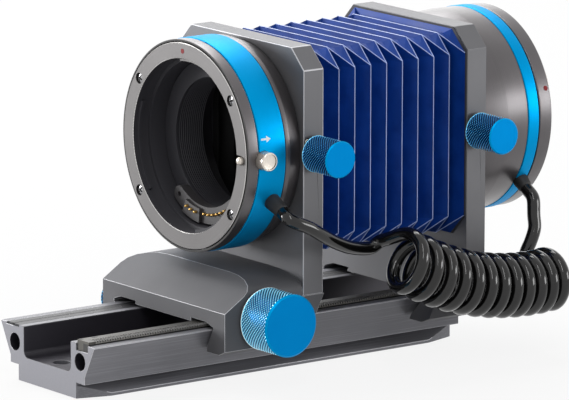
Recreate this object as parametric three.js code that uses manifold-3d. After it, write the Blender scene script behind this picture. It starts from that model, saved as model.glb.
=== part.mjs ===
import * as THREE from "three";
import { mergeVertices } from "three/addons/utils/BufferGeometryUtils.js";
import Module from "manifold-3d";

const wasm = await Module();
wasm.setup();

// Lengths are in millimetres. X is across the rail with the drive knob on +X, Y runs from the lens
// towards the camera and Z is up. The origin is the centre of the rail's underside.

// Rail
const railLength = 146.1;
const railTop = 17.6;
const railEdge = 0.3;
const flare = 5.3;
const footInset = 1.1;
const neckInset = 3.3;
const footEdge = 1;
const neckLow = 4.3;
const bodyLow = 5;
const lipTop = 7.3;
const wallWidth = 12.7;
const channelFloor = 7.8;
const channelFillet = 2;
const footCornerRun = 11;
const endHoleIn = 5;
const endHoleRise = 4.6;
const endHoleRadius = 2.8;
const endHoleDepth = 14;
const floorHoleFromEnd = 5.5;
const floorHoleRadius = 1.6;
const floorHeadRadius = 2.8;
const floorHeadDepth = 1.6;
const socketOffset = 14;
const socketDepth = 5.6;
const wideSocketRadius = 4.4;
const narrowSocketRadius = 2.9;

// Rack, pinion and scale
const rackIn = 6.1;
const rackHalf = 3;
const rackBase = 2.4;
const rackEndGap = 0.4;
const toothModule = 0.3;
const pinionTeeth = 14;
const toothTipShare = 0.75;
const toothRootShare = 1.15;
const toothWidthShare = 0.42;
const flankShare = 0.36;
const scaleHalf = 3.3;
const scaleDepth = 0.6;

// Carriages
const railClearance = 0.9;
const carriageSide = 7.3;
const carriageInset = 0.2;
const carriageHeight = 14.1;
const crownWidth = 16.7;
const noseDrop = 8.9;
const noseRun = 14;
const plateSeat = 7.2;
const clawRise = 2.9;
const clawGap = 1;
const clawFootRun = 6.3;
const clawCorner = 1.4;
const clawRelief = 0.5;
const endSlope = 0.51;
const frontCarriageAt = 44;
const frontToPlate = 30.1;
const frontHeel = 0.7;
const rearToPlate = 15.2;
const padThickness = 0.45;
const padInset = 0.2;
const padWidth = 1.8;
const gibThickness = 0.45;
const gibRise = 1.5;
const gibDrop = 1.6;
const gibEndInset = 1.5;
const frontGibLength = 27;
const rearGibLength = 17;

// Standards
const plateThickness = 7.7;
const plateRim = 4.2;
const plateSide = 4.4;
const plateCut = 6.5;
const plateOverhang = 0.3;
const adapterClearance = 4.2;

// Bellows
const pleats = 9;
const bellowsSideInset = 4.9;
const bellowsTopInset = 2.4;
const bellowsBelowSpigot = 5.5;
const ridgeCut = 6.2;
const pleatDepth = 5;
const valleyCut = 0.8;
const fabric = 0.75;
const frameThickness = 1.2;
const frameMargin = 1.6;
const rearFrameEdge = 0.2;
const endFlare = 3;
const endCut = 7.5;
const endValleyDepth = 3.4;
const endValleyShare = 0.4;
const frameLip = 2.5;
const frameCut = 5;

// Drive knob, pinion shaft and bush
const driveIn = 15;
const driveAboveRail = 3;
const driveRadius = 9.9;
const driveGap = 0.8;
const driveLength = 13.5;
const driveFlutes = 60;
const fluteDepth = 0.35;
const driveChamfer = 0.9;
const driveBore = 7;
const shaftRadius = 1.4;
const shaftRunning = 0.1;
const bushRadius = 2.6;
const bushDepth = 4.7;
const bushFlange = 3.9;
const bushFlangeThickness = 0.4;
const pinionPocket = 0.6;

// Clamp and lock knobs
const smallRadius = 5.8;
const smallEdge = 0.5;
const smallLength = 13;
const smallGap = 0.5;
const smallBore = 5;
const screwRadius = 1.5;
const screwRunning = 0.12;
const clampTipGap = 0.3;
const rearLockIn = 3.2;
const frontLockAhead = 0.7;

// Lens adapter on the front standard
const shellRadius = 33.5;
const bandStand = 0.3;
const bandSeatDepth = 0.6;
const shellRim = 1;
const ringWidth = 5;
const lugStand = 1.5;
const lugSetback = 1.3;
const lugSpan = 62;
const firstLugEnd = 99.5;
const lugCount = 3;
const mountThickness = 2.6;
const mountToPlate = 21.8;
const lipAhead = 0.6;
const bandSetback = 4.4;
const bandWidth = 10.2;
const lugRoom = 3.2;
const throatStep = 1;
const backTaperIn = 1.9;
const spigotStep = 3.1;
const spigotWall = 2.7;
const spigotRunning = 0.22;
const spigotEndGap = 0.6;
const grooveDepth = 0.8;
const grooveWidth = 4.4;
const baffleAhead = 3.1;
const baffleStep = 6.1;
const baffleWall = 1.6;
const baffleFlange = 2;
const baffleLength = 10.5;
const blockOut = 0.8;
const blockStart = -127;
const blockEnd = -51;
const blockThickness = 3.3;
const blockStep = 1.1;
const stepIn = 0.8;
const stepStart = -115;
const stepEnd = -94.5;
const blockHole = 0.8;
const contactIn = 2.25;
const contactRadius = 0.45;
const contactRoom = 0.15;
const contactStand = 1.1;
const contactInside = 2;
const leftContacts = 3;
const rightContacts = 6;
const leftContactStart = -110.8;
const leftContactStep = 6;
const rightContactStart = -90.1;
const rightContactStep = 5.7;
const pinOut = 2.4;
const pinRadius = 1.25;
const pinRoom = 0.3;
const pinStand = 1.5;
const pinLength = 6.6;
const pinTravel = 1.2;
const ringScrewOut = 2.6;
const ringScrewAngle = 36.5;
const ringScrewHead = 1.45;
const ringScrewHeadDepth = 0.9;
const ringScrewShank = 0.8;
const ringScrewLength = 6.5;
const buttonSetback = 5.9;
const buttonRadius = 2.95;
const buttonRoom = 0.25;
const buttonStand = 2.1;
const buttonEdge = 0.35;
const buttonTravel = 1.2;
const buttonClear = 0.15;

// Camera adapter on the rear standard
const rearShellStep = 0.6;
const rearNeckIn = 0.6;
const rearFlareRun = 9;
const rearBandStand = 0.3;
const rearBandSeatDepth = 0.7;
const rearBandSetback = 25.1;
const rearBandWidth = 4.7;
const rearWall = 5.7;
const flangeStand = 0.1;
const flangeWidth = 5.2;
const flangeChamfer = 0.5;
const bayonetStep = 2;
const bayonetWall = 2.2;
const bayonetLugOut = 1.7;
const bayonetLugThickness = 1.4;
const bayonetLugSpan = 50;
const bayonetLugStart = 20;
const bayonetStand = 4.8;
const bayonetSeatDepth = 2;
const bayonetRim = 1;
const rearBlockGap = 0.3;
const rearBlockWidth = 2.1;
const rearBlockDepth = 6;
const rearBlockSetback = 1;

// Cord: route points are given as out from the standards' side, behind the band exit, below the axis
const cordDiameter = 4.2;
const coilRadius = 8.3;
const coilTurns = 11.58;
const coilStartAngle = 119;
const coilStartPitch = 5.95;
const coilEndPitch = 4.48;
const coilSteps = 8;
const coilSides = 5;
const coilOut = 15.1;
const coilBehindExit = 37;
const coilFall = 51.4;
const coilDrop = 48.2;
const coilSag = 14.5;
const coilStartTilt = 26;
const coilEndTilt = 5;
const leadSides = 8;
const frontExitAngle = -24.5;
const frontExitBeforeEdge = 3.3;
const frontReliefRadius = 2.5;
const frontReliefLength = 5.5;
const rearExitAngle = -37.3;
const rearExitBehindEdge = 2.3;
const rearReliefRadius = 2.4;
const rearReliefLength = 3;
const reliefTipShare = 0.8;
const frontRoute = [
  [8.3, 6.2, 21.2],
  [7.7, 11.8, 24.4],
  [6.3, 18, 27.6],
  [4.9, 24.4, 30.2],
  [3.7, 30.2, 31.6],
  [3.1, 35, 31.9],
];
const rearRouteTop = [
  [1, -0.6, 30],
  [2.2, -1.2, 34],
];
const rearRouteFoot = [
  [2.6, 2.2, 37.8],
  [2.3, 0.4, 41.6],
  [1.9, -0.3, 45.8],
  [2.2, -0.4, 50],
  [3.7, -0.3, 53.6],
];

// Clearances and drawing values
const seat = 0.1;
const touchGap = 0.3;
const overrun = 1;
const largeFacets = 36;
const smallFacets = 24;
const holeFacets = 16;
const pinFacets = 8;
const fullTurn = 360;

// Places and sizes that follow from those above
const bandRadius = shellRadius + bandStand;
const bandSeat = shellRadius - bandSeatDepth;
const mountOuter = shellRadius - shellRim;
const throat = mountOuter - ringWidth;
const lugRadius = throat - lugStand;
const shellBore = throat - throatStep;
const backTaper = shellRadius - backTaperIn;
const spigotRadius = backTaper - spigotStep;
const spigotBore = spigotRadius - spigotWall;
const baffleRadius = shellBore - baffleStep;
const blockOuter = shellBore - blockOut;
const contactCircle = baffleRadius + contactIn;
const pinCircle = throat + pinOut;
const ringScrewCircle = throat + ringScrewOut;
const buttonStem = pinCircle + pinRadius + buttonTravel + buttonClear;

const plateHalf = spigotRadius + plateSide;
const carriageHalf = plateHalf - carriageInset;
const flatHalf = carriageHalf - crownWidth;
const railHalf = carriageHalf - carriageSide;
const bodyHalf = railHalf - flare;
const footHalf = bodyHalf - footInset;
const neckHalf = footHalf - neckInset;
const channelHalf = railHalf - wallWidth;
const endHoleX = channelHalf + endHoleIn;
const endHoleZ = lipTop + endHoleRise;
const rackCentre = channelHalf + rackIn;
const rackLow = rackCentre - rackHalf;
const rackHigh = rackCentre + rackHalf;
const rackFloor = railTop - rackBase + toothModule;
const sideSlope = (railHalf - bodyHalf) / (railTop - lipTop);
const sideLean = Math.hypot(1, sideSlope);
const sideAt = (z) => bodyHalf + sideSlope * (z - lipTop);

const carriageUnder = railTop + railClearance;
const carriageTop = carriageUnder + carriageHeight;
const noseFoot = carriageTop - noseDrop;
const plateFoot = carriageUnder + plateSeat;
const clawLow = lipTop + clawRise;
const clawInner = sideAt(clawLow + clawCorner) + clawGap;
const gibLow = clawLow + gibRise;
const gibHigh = railTop - gibDrop;
const lockHeight = (gibLow + gibHigh) / 2;
const axisHeight = carriageTop + adapterClearance + bandRadius;
const plateTop = axisHeight + spigotRadius + plateRim;
const ridgeHalf = plateHalf - bellowsSideInset;
const ridgeHigh = plateTop - bellowsTopInset;
const ridgeLow = axisHeight - spigotRadius - bellowsBelowSpigot;

const driveAt = frontCarriageAt + driveIn;
const driveHeight = railTop + driveAboveRail;
const driveStart = carriageHalf + driveGap;
const driveEnd = driveStart + driveLength;
const bushStart = carriageHalf - bushDepth;
const pitchRadius = (toothModule * pinionTeeth) / 2;
const toothPitch = Math.PI * toothModule;
const halfTooth = (toothPitch * toothWidthShare) / 2;
const rackPitchLine = driveHeight - pitchRadius;
const rackTip = rackPitchLine + toothTipShare * toothModule;
const rackRoot = rackPitchLine - toothRootShare * toothModule;

const frontPlateAt = frontCarriageAt + frontToPlate;
const frontLockAt = driveAt - frontLockAhead;
const frontCarriageBack = frontPlateAt + plateThickness + frontHeel;
const mountFaceAt = frontPlateAt - mountToPlate;
const mountSeat = mountFaceAt + mountThickness;
const frontBandAt = mountFaceAt + bandSetback;
const frontBandEnd = frontBandAt + bandWidth;
const baffleAt = frontBandEnd - baffleAhead;
const blockFace = baffleAt - blockThickness - seat;
const stepFace = blockFace - blockStep;
const buttonAt = mountFaceAt + buttonSetback;
const rearPlateAt = railLength - plateThickness + plateOverhang;
const rearCarriageAt = rearPlateAt - rearToPlate;
const rearLockAt = rearPlateAt - rearLockIn;

const rearShellRadius = shellRadius - rearShellStep;
const rearNeckRadius = rearShellRadius - rearNeckIn;
const rearBandRadius = rearShellRadius + rearBandStand;
const rearBandSeat = rearShellRadius - rearBandSeatDepth;
const rearBore = rearShellRadius - rearWall;
const rearBandAt = rearPlateAt + rearBandSetback;
const rearBandEnd = rearBandAt + rearBandWidth;
const flangeRadius = rearShellRadius + flangeStand;
const flangeFace = rearBandEnd + flangeWidth;
const bayonetSeat = flangeFace - bayonetSeatDepth;
const bayonetRadius = rearBore - bayonetStep;
const bayonetBore = bayonetRadius - bayonetWall;
const bayonetLug = bayonetRadius + bayonetLugOut;
const rearBlockOuter = bayonetBore - rearBlockGap;
const rearBlockInner = rearBlockOuter - rearBlockWidth;

const frontExitAt = frontBandEnd - frontExitBeforeEdge;
const rearExitAt = rearBandAt + rearExitBehindEdge;
const coilX = plateHalf + coilOut;
const coilStart = frontExitAt + coilBehindExit;
const coilLowAt = coilStart + coilFall;
const coilLowHeight = axisHeight - coilDrop;

const railStart = -railLength / 2;
const along = (station) => railStart + station;
const radians = (degrees) => (degrees * Math.PI) / 180;
const share = (low, high, part) => low + (high - low) * part;

const anodised = { color: 0x5c5c5f, roughness: 0.45, metalness: 0.7 };
const paleAnodised = { color: 0x7d7c7b, roughness: 0.42, metalness: 0.75 };
const blueAnodised = { color: 0x0086c8, roughness: 0.35, metalness: 0.6 };
const blackAnodised = { color: 0x2b292a, roughness: 0.45, metalness: 0.5 };
const mattBlack = { color: 0x141314, roughness: 0.85, metalness: 0.1 };
const darkSteel = { color: 0x45403a, roughness: 0.4, metalness: 0.9 };
const nickel = { color: 0xcdc6bc, roughness: 0.25, metalness: 1 };
const brass = { color: 0xb08a45, roughness: 0.35, metalness: 1 };
const gold = { color: 0xe0b35a, roughness: 0.25, metalness: 1 };
const blueFabric = { color: 0x14307f, roughness: 0.6, metalness: 0 };
const slidePlastic = { color: 0x1b1b1d, roughness: 0.6, metalness: 0 };
const glossPlastic = { color: 0x0d0c0c, roughness: 0.12, metalness: 0 };

const part = new THREE.Group();
const alongY = new THREE.Matrix4().makeRotationX(Math.PI / 2);
const alongX = new THREE.Matrix4().makeBasis(
  new THREE.Vector3(0, 1, 0),
  new THREE.Vector3(0, 0, 1),
  new THREE.Vector3(1, 0, 0),
);

function signedVolume(position, index) {
  const a = new THREE.Vector3();
  const b = new THREE.Vector3();
  const c = new THREE.Vector3();
  let sum = 0;
  for (let i = 0; i < index.count; i += 3) {
    a.fromBufferAttribute(position, index.getX(i));
    b.fromBufferAttribute(position, index.getX(i + 1));
    c.fromBufferAttribute(position, index.getX(i + 2));
    sum += a.dot(b.cross(c));
  }
  return sum;
}

function solid(geometry) {
  const bare = geometry.clone();
  bare.deleteAttribute("normal");
  bare.deleteAttribute("uv");
  const merged = mergeVertices(bare);
  const corners = Array.from(merged.index.array);
  const kept = [];
  const inward = signedVolume(merged.attributes.position, merged.index) < 0;
  for (let i = 0; i < corners.length; i += 3) {
    const [a, b, c] = corners.slice(i, i + 3);
    if (a !== b && b !== c && c !== a) {
      kept.push(a, inward ? c : b, inward ? b : c);
    }
  }
  const vertProperties = new Float32Array(merged.attributes.position.array);
  return new wasm.Manifold(new wasm.Mesh({ numProp: 3, vertProperties, triVerts: new Uint32Array(kept) }));
}

function add(name, body, finish) {
  const mesh = body.getMesh();
  const geometry = new THREE.BufferGeometry();
  geometry.setAttribute("position", new THREE.BufferAttribute(mesh.vertProperties, 3));
  geometry.setIndex(new THREE.BufferAttribute(mesh.triVerts, 1));
  geometry.computeVertexNormals();
  const piece = new THREE.Mesh(geometry, new THREE.MeshStandardMaterial(finish));
  piece.name = name;
  part.add(piece);
}

function outline(points) {
  return new THREE.Shape(points.map(([u, v]) => new THREE.Vector2(u, v)));
}

function circle(radius, facets, u = 0, v = 0) {
  const points = [];
  for (let i = 0; i < facets; i += 1) {
    const angle = (2 * Math.PI * i) / facets;
    points.push([u + radius * Math.cos(angle), v + radius * Math.sin(angle)]);
  }
  return points;
}

function mirrored(half) {
  return [...half, ...half.map(([x, z]) => [-x, z]).reverse()];
}

function extrudedY(points, from, to) {
  const shape = new THREE.ExtrudeGeometry(outline(points), { depth: to - from, bevelEnabled: false });
  return solid(shape.applyMatrix4(alongY).translate(0, to, 0));
}

function extrudedX(points, from, to) {
  const shape = new THREE.ExtrudeGeometry(outline(points), { depth: to - from, bevelEnabled: false });
  return solid(shape.applyMatrix4(alongX).translate(from, 0, 0));
}

function extrudedZ(points, from, to) {
  const shape = new THREE.ExtrudeGeometry(outline(points), { depth: to - from, bevelEnabled: false });
  return solid(shape.translate(0, 0, from));
}

function lathe(points, facets) {
  return new THREE.LatheGeometry(points.map(([r, h]) => new THREE.Vector2(r, h)), facets);
}

// A ring about the optical axis: its section is a closed loop of radius and station.
function ring(section, facets = largeFacets) {
  const closed = [...section, section[0]].map(([r, station]) => [r, along(station)]);
  return solid(lathe(closed, facets).rotateY(Math.PI / facets).translate(0, 0, axisHeight));
}

// A turned piece about a line along X: its section runs from the line out and back to it.
function turnedX(section, station, height, facets = smallFacets) {
  return solid(lathe(section, facets).rotateZ(-Math.PI / 2).translate(0, along(station), height));
}

function rodX(radius, from, to, station, height, facets = smallFacets) {
  return turnedX([[0, from], [radius, from], [radius, to], [0, to]], station, height, facets);
}

function rodY(radius, from, to, x, z, facets = holeFacets) {
  return extrudedY(circle(radius, facets, x, z), along(from), along(to));
}

function sector(inner, outer, startAngle, endAngle, from, to, steps = holeFacets) {
  const points = [];
  for (let i = 0; i <= steps; i += 1) {
    const angle = radians(share(startAngle, endAngle, i / steps));
    points.push([outer * Math.cos(angle), axisHeight + outer * Math.sin(angle)]);
  }
  for (let i = steps; i >= 0; i -= 1) {
    const angle = radians(share(startAngle, endAngle, i / steps));
    points.push([inner * Math.cos(angle), axisHeight + inner * Math.sin(angle)]);
  }
  return extrudedY(points, along(from), along(to));
}

// Rail: dovetail foot, flared body with a channel, a groove for the rack and a recess for the scale.
function railSection() {
  const fillet = [];
  const filletSteps = 4;
  for (let i = 0; i <= filletSteps; i += 1) {
    const angle = radians(share(0, 90, i / filletSteps));
    fillet.push([
      channelHalf - channelFillet * (1 - Math.cos(angle)),
      channelFloor + channelFillet * (1 - Math.sin(angle)),
    ]);
  }
  return mirrored([
    [footHalf, 0],
    [footHalf, footEdge],
    [neckHalf, neckLow],
    [neckHalf, bodyLow],
    [bodyHalf, bodyLow],
    [bodyHalf, lipTop],
    [sideAt(railTop - railEdge), railTop - railEdge],
    [railHalf - railEdge, railTop],
    [channelHalf, railTop],
    ...fillet,
  ]);
}

function footCorner(side, end) {
  const tip = (railLength / 2 + overrun) * end;
  const inner = (railLength / 2 - footCornerRun) * end;
  const points = [
    [neckHalf * side, tip],
    [(footHalf + overrun) * side, tip],
    [(footHalf + overrun) * side, inner],
    [footHalf * side, inner],
    [neckHalf * side, (railLength / 2) * end],
  ];
  return extrudedZ(points, -overrun, neckLow);
}

function makeRail() {
  let rail = extrudedY(railSection(), along(0), along(railLength));
  const rackGroove = [
    [rackLow - seat, rackFloor - seat],
    [rackHigh + seat, rackFloor - seat],
    [rackHigh + seat, railTop + overrun],
    [rackLow - seat, railTop + overrun],
  ];
  const scaleRecess = [
    [-rackCentre - scaleHalf - seat, railTop - scaleDepth - seat],
    [-rackCentre + scaleHalf + seat, railTop - scaleDepth - seat],
    [-rackCentre + scaleHalf + seat, railTop + overrun],
    [-rackCentre - scaleHalf - seat, railTop + overrun],
  ];
  rail = rail.subtract(extrudedY(rackGroove, along(-overrun), along(railLength + overrun)));
  rail = rail.subtract(extrudedY(scaleRecess, along(-overrun), along(railLength + overrun)));
  for (const side of [-1, 1]) {
    const x = endHoleX * side;
    rail = rail.subtract(rodY(endHoleRadius, -overrun, endHoleDepth, x, endHoleZ));
    rail = rail.subtract(
      rodY(endHoleRadius, railLength - endHoleDepth, railLength + overrun, x, endHoleZ),
    );
    rail = rail.subtract(footCorner(side, -1)).subtract(footCorner(side, 1));
  }
  for (const end of [-1, 1]) {
    const y = (railLength / 2 - floorHoleFromEnd) * end;
    const shank = extrudedZ(circle(floorHoleRadius, holeFacets, 0, y), -overrun, channelFloor);
    const head = extrudedZ(
      circle(floorHeadRadius, holeFacets, 0, y),
      channelFloor - floorHeadDepth,
      channelFloor + overrun,
    );
    rail = rail.subtract(shank).subtract(head);
    const socket = circle(end < 0 ? wideSocketRadius : narrowSocketRadius, holeFacets, 0, socketOffset * end);
    rail = rail.subtract(extrudedZ(socket, -overrun, socketDepth));
  }
  return rail;
}
add("rail", makeRail(), anodised);

// Rack: its teeth stand across the rail, set so that a gap lies under the pinion's lowest tooth.
function makeRack() {
  const start = along(rackEndGap);
  const end = along(railLength - rackEndGap);
  const points = [[end, rackFloor], [end, rackRoot]];
  const rest = along(driveAt);
  const first = Math.floor((end - rest) / toothPitch - 5 / 4) + 1 / 2;
  for (let k = first; rest + (k - 1) * toothPitch > start; k -= 1) {
    const centre = rest + k * toothPitch;
    const tip = halfTooth - flankShare * toothTipShare * toothModule;
    const root = halfTooth + flankShare * toothRootShare * toothModule;
    points.push([centre + root, rackRoot], [centre + tip, rackTip]);
    points.push([centre - tip, rackTip], [centre - root, rackRoot]);
  }
  points.push([start, rackRoot], [start, rackFloor]);
  return extrudedX(points.reverse(), rackLow, rackHigh);
}
add("rack", makeRack(), darkSteel);

const scaleSection = [
  [-rackCentre - scaleHalf, railTop - scaleDepth],
  [-rackCentre + scaleHalf, railTop - scaleDepth],
  [-rackCentre + scaleHalf, railTop],
  [-rackCentre - scaleHalf, railTop],
];
add("scale_strip", extrudedY(scaleSection, along(rackEndGap), along(railLength - rackEndGap)), paleAnodised);

// Pinion shaft: a steel shaft with the pinion cut on it, carried in the bush and turned by the knob.
function pinionSection() {
  const points = [];
  const tip = halfTooth - flankShare * toothTipShare * toothModule;
  const root = halfTooth + flankShare * toothRootShare * toothModule;
  const tipRadius = pitchRadius + toothTipShare * toothModule;
  const rootRadius = pitchRadius - toothRootShare * toothModule;
  for (let i = 0; i < pinionTeeth; i += 1) {
    const middle = -Math.PI / 2 + (2 * Math.PI * i) / pinionTeeth;
    const tooth = [[rootRadius, -root], [tipRadius, -tip], [tipRadius, tip], [rootRadius, root]];
    for (const [radius, half] of tooth) {
      const angle = middle + half / pitchRadius;
      points.push([along(driveAt) + radius * Math.cos(angle), driveHeight + radius * Math.sin(angle)]);
    }
  }
  return points;
}

function makeShaft() {
  const teeth = extrudedX(pinionSection(), rackLow, rackHigh);
  return teeth.add(rodX(shaftRadius, rackLow - overrun, driveStart + driveBore - seat, driveAt, driveHeight));
}
add("pinion_shaft", makeShaft(), darkSteel);

// Drive knob: straight flutes round its side, a plain chamfered end and a bore for the shaft.
function makeDriveKnob() {
  const flutes = [];
  for (let i = 0; i < driveFlutes; i += 1) {
    const angle = (2 * Math.PI * i) / driveFlutes;
    const half = Math.PI / driveFlutes;
    for (const [radius, turn] of [[driveRadius, 0], [driveRadius - fluteDepth, half]]) {
      flutes.push([
        along(driveAt) + radius * Math.cos(angle + turn),
        driveHeight + radius * Math.sin(angle + turn),
      ]);
    }
  }
  const fluted = extrudedX(flutes, driveStart, driveEnd);
  const blank = turnedX(
    [
      [0, driveStart],
      [driveRadius - driveChamfer, driveStart],
      [driveRadius + seat, driveStart + driveChamfer],
      [driveRadius + seat, driveEnd - driveChamfer],
      [driveRadius - driveChamfer, driveEnd],
      [0, driveEnd],
    ],
    driveAt,
    driveHeight,
    largeFacets,
  );
  const bore = rodX(
    shaftRadius + shaftRunning,
    driveStart - overrun,
    driveStart + driveBore,
    driveAt,
    driveHeight,
  );
  return fluted.intersect(blank).subtract(bore);
}
add("drive_knob", makeDriveKnob(), blueAnodised);

function makeBush() {
  const bore = shaftRadius + shaftRunning;
  const section = [
    [bore, bushStart],
    [bushRadius, bushStart],
    [bushRadius, carriageHalf + seat],
    [bushFlange, carriageHalf + seat],
    [bushFlange, carriageHalf + seat + bushFlangeThickness],
    [bore, carriageHalf + seat + bushFlangeThickness],
    [bore, bushStart],
  ];
  return turnedX(section, driveAt, driveHeight);
}
add("pinion_bush", makeBush(), brass);

// Carriages: one section claws round the rail, cut to a nose or a slanted end.
const notchLow = rackLow - 3 * touchGap;
const notchHigh = rackHigh + 3 * touchGap;
const notchTop = rackTip + 3 * touchGap;

function carriageSection() {
  const half = [
    [0, carriageUnder],
    [notchLow, carriageUnder],
    [notchLow, notchTop],
    [notchHigh, notchTop],
    [sideAt(carriageUnder) + clawGap - clawRelief, carriageUnder],
    [sideAt(carriageUnder - clawRelief) + clawGap, carriageUnder - clawRelief],
    [clawInner, clawLow + clawCorner],
    [clawInner, clawLow],
    [clawInner + clawFootRun, clawLow],
    [carriageHalf, clawLow + clawCorner],
  ];
  const shoulder = crown();
  const right = [...half, ...shoulder];
  return [...right, ...right.slice(1).map(([x, z]) => [-x, z]).reverse()];
}

// The upper edge falls away from a flat middle to the side along part of an ellipse.
function crown() {
  const points = [];
  const steps = 5;
  const drop = carriageTop - share(noseFoot, carriageTop, 1 / 2);
  for (let i = steps; i >= 0; i -= 1) {
    const angle = radians(share(0, 90, i / steps));
    points.push([
      flatHalf + (carriageHalf - flatHalf) * Math.sin(angle),
      carriageTop - drop * (1 - Math.cos(angle)),
    ]);
  }
  return points;
}

function frontCarriageSide() {
  const slantAt = (z) => along(frontCarriageBack) + endSlope * (z - plateFoot);
  return [
    [along(frontCarriageAt), clawLow - overrun],
    [slantAt(clawLow - overrun), clawLow - overrun],
    [slantAt(plateFoot - seat), plateFoot - seat],
    [along(frontPlateAt) - seat, plateFoot - seat],
    [along(frontPlateAt) - seat, carriageTop + overrun],
    [along(frontCarriageAt + noseRun) + seat, carriageTop + overrun],
    [along(frontCarriageAt + noseRun), carriageTop],
    [along(frontCarriageAt), noseFoot],
  ];
}

function screwHole(side, station, height) {
  const from = side < 0 ? -carriageHalf - overrun : 0;
  const to = side < 0 ? 0 : carriageHalf + overrun;
  return rodX(screwRadius + screwRunning, from, to, station, height);
}

function makeFrontCarriage() {
  const length = extrudedY(carriageSection(), along(frontCarriageAt), along(frontCarriageBack));
  let body = length.intersect(extrudedX(frontCarriageSide(), -plateHalf, plateHalf));
  const pocketRadius = pitchRadius + toothModule + pinionPocket;
  body = body.subtract(rodX(pocketRadius, notchLow, rackHigh + touchGap, driveAt, driveHeight));
  body = body.subtract(
    rodX(shaftRadius + touchGap, rackLow - 2 * overrun, bushStart + overrun, driveAt, driveHeight),
  );
  body = body.subtract(
    rodX(bushRadius + seat, bushStart - seat, carriageHalf + overrun, driveAt, driveHeight),
  );
  return body.subtract(screwHole(-1, frontLockAt, lockHeight));
}
add("front_carriage", makeFrontCarriage(), anodised);

function rearCarriageSide() {
  const slantAt = (z) => along(rearCarriageAt) + endSlope * (z - clawLow);
  const back = along(rearPlateAt + plateThickness);
  return [
    [slantAt(clawLow - overrun), clawLow - overrun],
    [back, clawLow - overrun],
    [back, plateFoot - seat],
    [along(rearPlateAt) - seat, plateFoot - seat],
    [along(rearPlateAt) - seat, carriageTop + overrun],
    [slantAt(carriageTop + overrun), carriageTop + overrun],
  ];
}

function makeRearCarriage() {
  const length = extrudedY(
    carriageSection(),
    along(rearCarriageAt) - overrun,
    along(rearPlateAt + plateThickness),
  );
  const body = length.intersect(extrudedX(rearCarriageSide(), -plateHalf, plateHalf));
  return body.subtract(screwHole(-1, rearLockAt, lockHeight));
}
add("rear_carriage", makeRearCarriage(), anodised);

// Slide pads under each carriage and gib strips on the rail's flared sides.

function gibSection(side) {
  const near = padInset * sideLean;
  const far = near + gibThickness * sideLean;
  return [
    [sideAt(gibLow) + near, gibLow],
    [sideAt(gibLow) + far, gibLow],
    [sideAt(gibHigh) + far, gibHigh],
    [sideAt(gibHigh) + near, gibHigh],
  ].map(([x, z]) => [x * side, z]);
}

function padSection(side) {
  const low = carriageUnder - padInset - padThickness;
  const inner = channelHalf + padInset;
  return [
    [inner, low],
    [inner + padWidth, low],
    [inner + padWidth, low + padThickness],
    [inner, low + padThickness],
  ].map(([x, z]) => [x * side, z]);
}

function addGuides(prefix, start, length) {
  const from = along(start + gibEndInset);
  const to = from + length;
  add(`${prefix}_guide_strip`, extrudedY(gibSection(1), from, to), slidePlastic);
  add(`${prefix}_gib`, extrudedY(gibSection(-1), from, to), brass);
  add(`${prefix}_slide_pad_right`, extrudedY(padSection(1), from, to), slidePlastic);
  add(`${prefix}_slide_pad_left`, extrudedY(padSection(-1), from, to), slidePlastic);
}
addGuides("front", frontCarriageAt, frontGibLength);
addGuides("rear", rearCarriageAt + endSlope * (carriageUnder - clawLow), rearGibLength);

// Standards: plates with two cut corners and a round bore for the adapter's spigot.
function plateSection() {
  return mirrored([
    [plateHalf, plateFoot],
    [plateHalf, plateTop - plateCut],
    [plateHalf - plateCut, plateTop],
  ]);
}

function addStandard(name, station) {
  const plate = extrudedY(plateSection(), along(station), along(station + plateThickness));
  const bore = ring([
    [0, station - overrun],
    [spigotRadius + spigotRunning, station - overrun],
    [spigotRadius + spigotRunning, station + plateThickness + overrun],
    [0, station + plateThickness + overrun],
  ]);
  const screw = rodX(
    screwRadius + screwRunning,
    spigotRadius - overrun,
    plateHalf + overrun,
    station + plateThickness / 2,
    axisHeight,
  );
  add(name, plate.subtract(bore).subtract(screw), anodised);
}
addStandard("front_standard", frontPlateAt);
addStandard("rear_standard", rearPlateAt);

// Clamp knobs on the standards and lock knobs on the carriages: a knob on a screw, along +X or -X.
function smallKnobSection(side, face) {
  const start = face + smallGap;
  const end = start + smallLength;
  const bore = screwRadius + seat;
  return [
    [bore, start],
    [smallRadius - smallEdge, start],
    [smallRadius, start + smallEdge],
    [smallRadius, end - smallEdge],
    [smallRadius - smallEdge, end],
    [0, end],
    [0, start + smallBore],
    [bore, start + smallBore],
    [bore, start],
  ].map(([radius, x]) => [radius, x * side]);
}

function addKnob(prefix, side, face, tip, station, height) {
  add(`${prefix}_knob`, turnedX(smallKnobSection(side, face), station, height), blueAnodised);
  const end = face + smallGap + smallBore - seat;
  const from = Math.min(tip * side, end * side);
  const to = Math.max(tip * side, end * side);
  add(`${prefix}_screw`, rodX(screwRadius, from, to, station, height, holeFacets), darkSteel);
}
const clampTip = spigotRadius - grooveDepth + clampTipGap;
addKnob("front_clamp", 1, plateHalf, clampTip, frontPlateAt + plateThickness / 2, axisHeight);
addKnob("rear_clamp", 1, plateHalf, clampTip, rearPlateAt + plateThickness / 2, axisHeight);
const lockTip = sideAt(lockHeight + screwRadius) + (padInset + gibThickness) * sideLean + seat;
addKnob("front_lock", -1, carriageHalf, lockTip, frontLockAt, lockHeight);
addKnob("rear_lock", -1, carriageHalf, lockTip, rearLockAt, lockHeight);

// Bellows: a tube of pleats whose ridges have cut corners, between two thin frames.
function pleatLoop(halfWidth, low, high, cut) {
  return [
    [halfWidth, low + cut],
    [halfWidth, high - cut],
    [halfWidth - cut, high],
    [-halfWidth + cut, high],
    [-halfWidth, high - cut],
    [-halfWidth, low + cut],
    [-halfWidth + cut, low],
    [halfWidth - cut, low],
  ];
}

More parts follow.
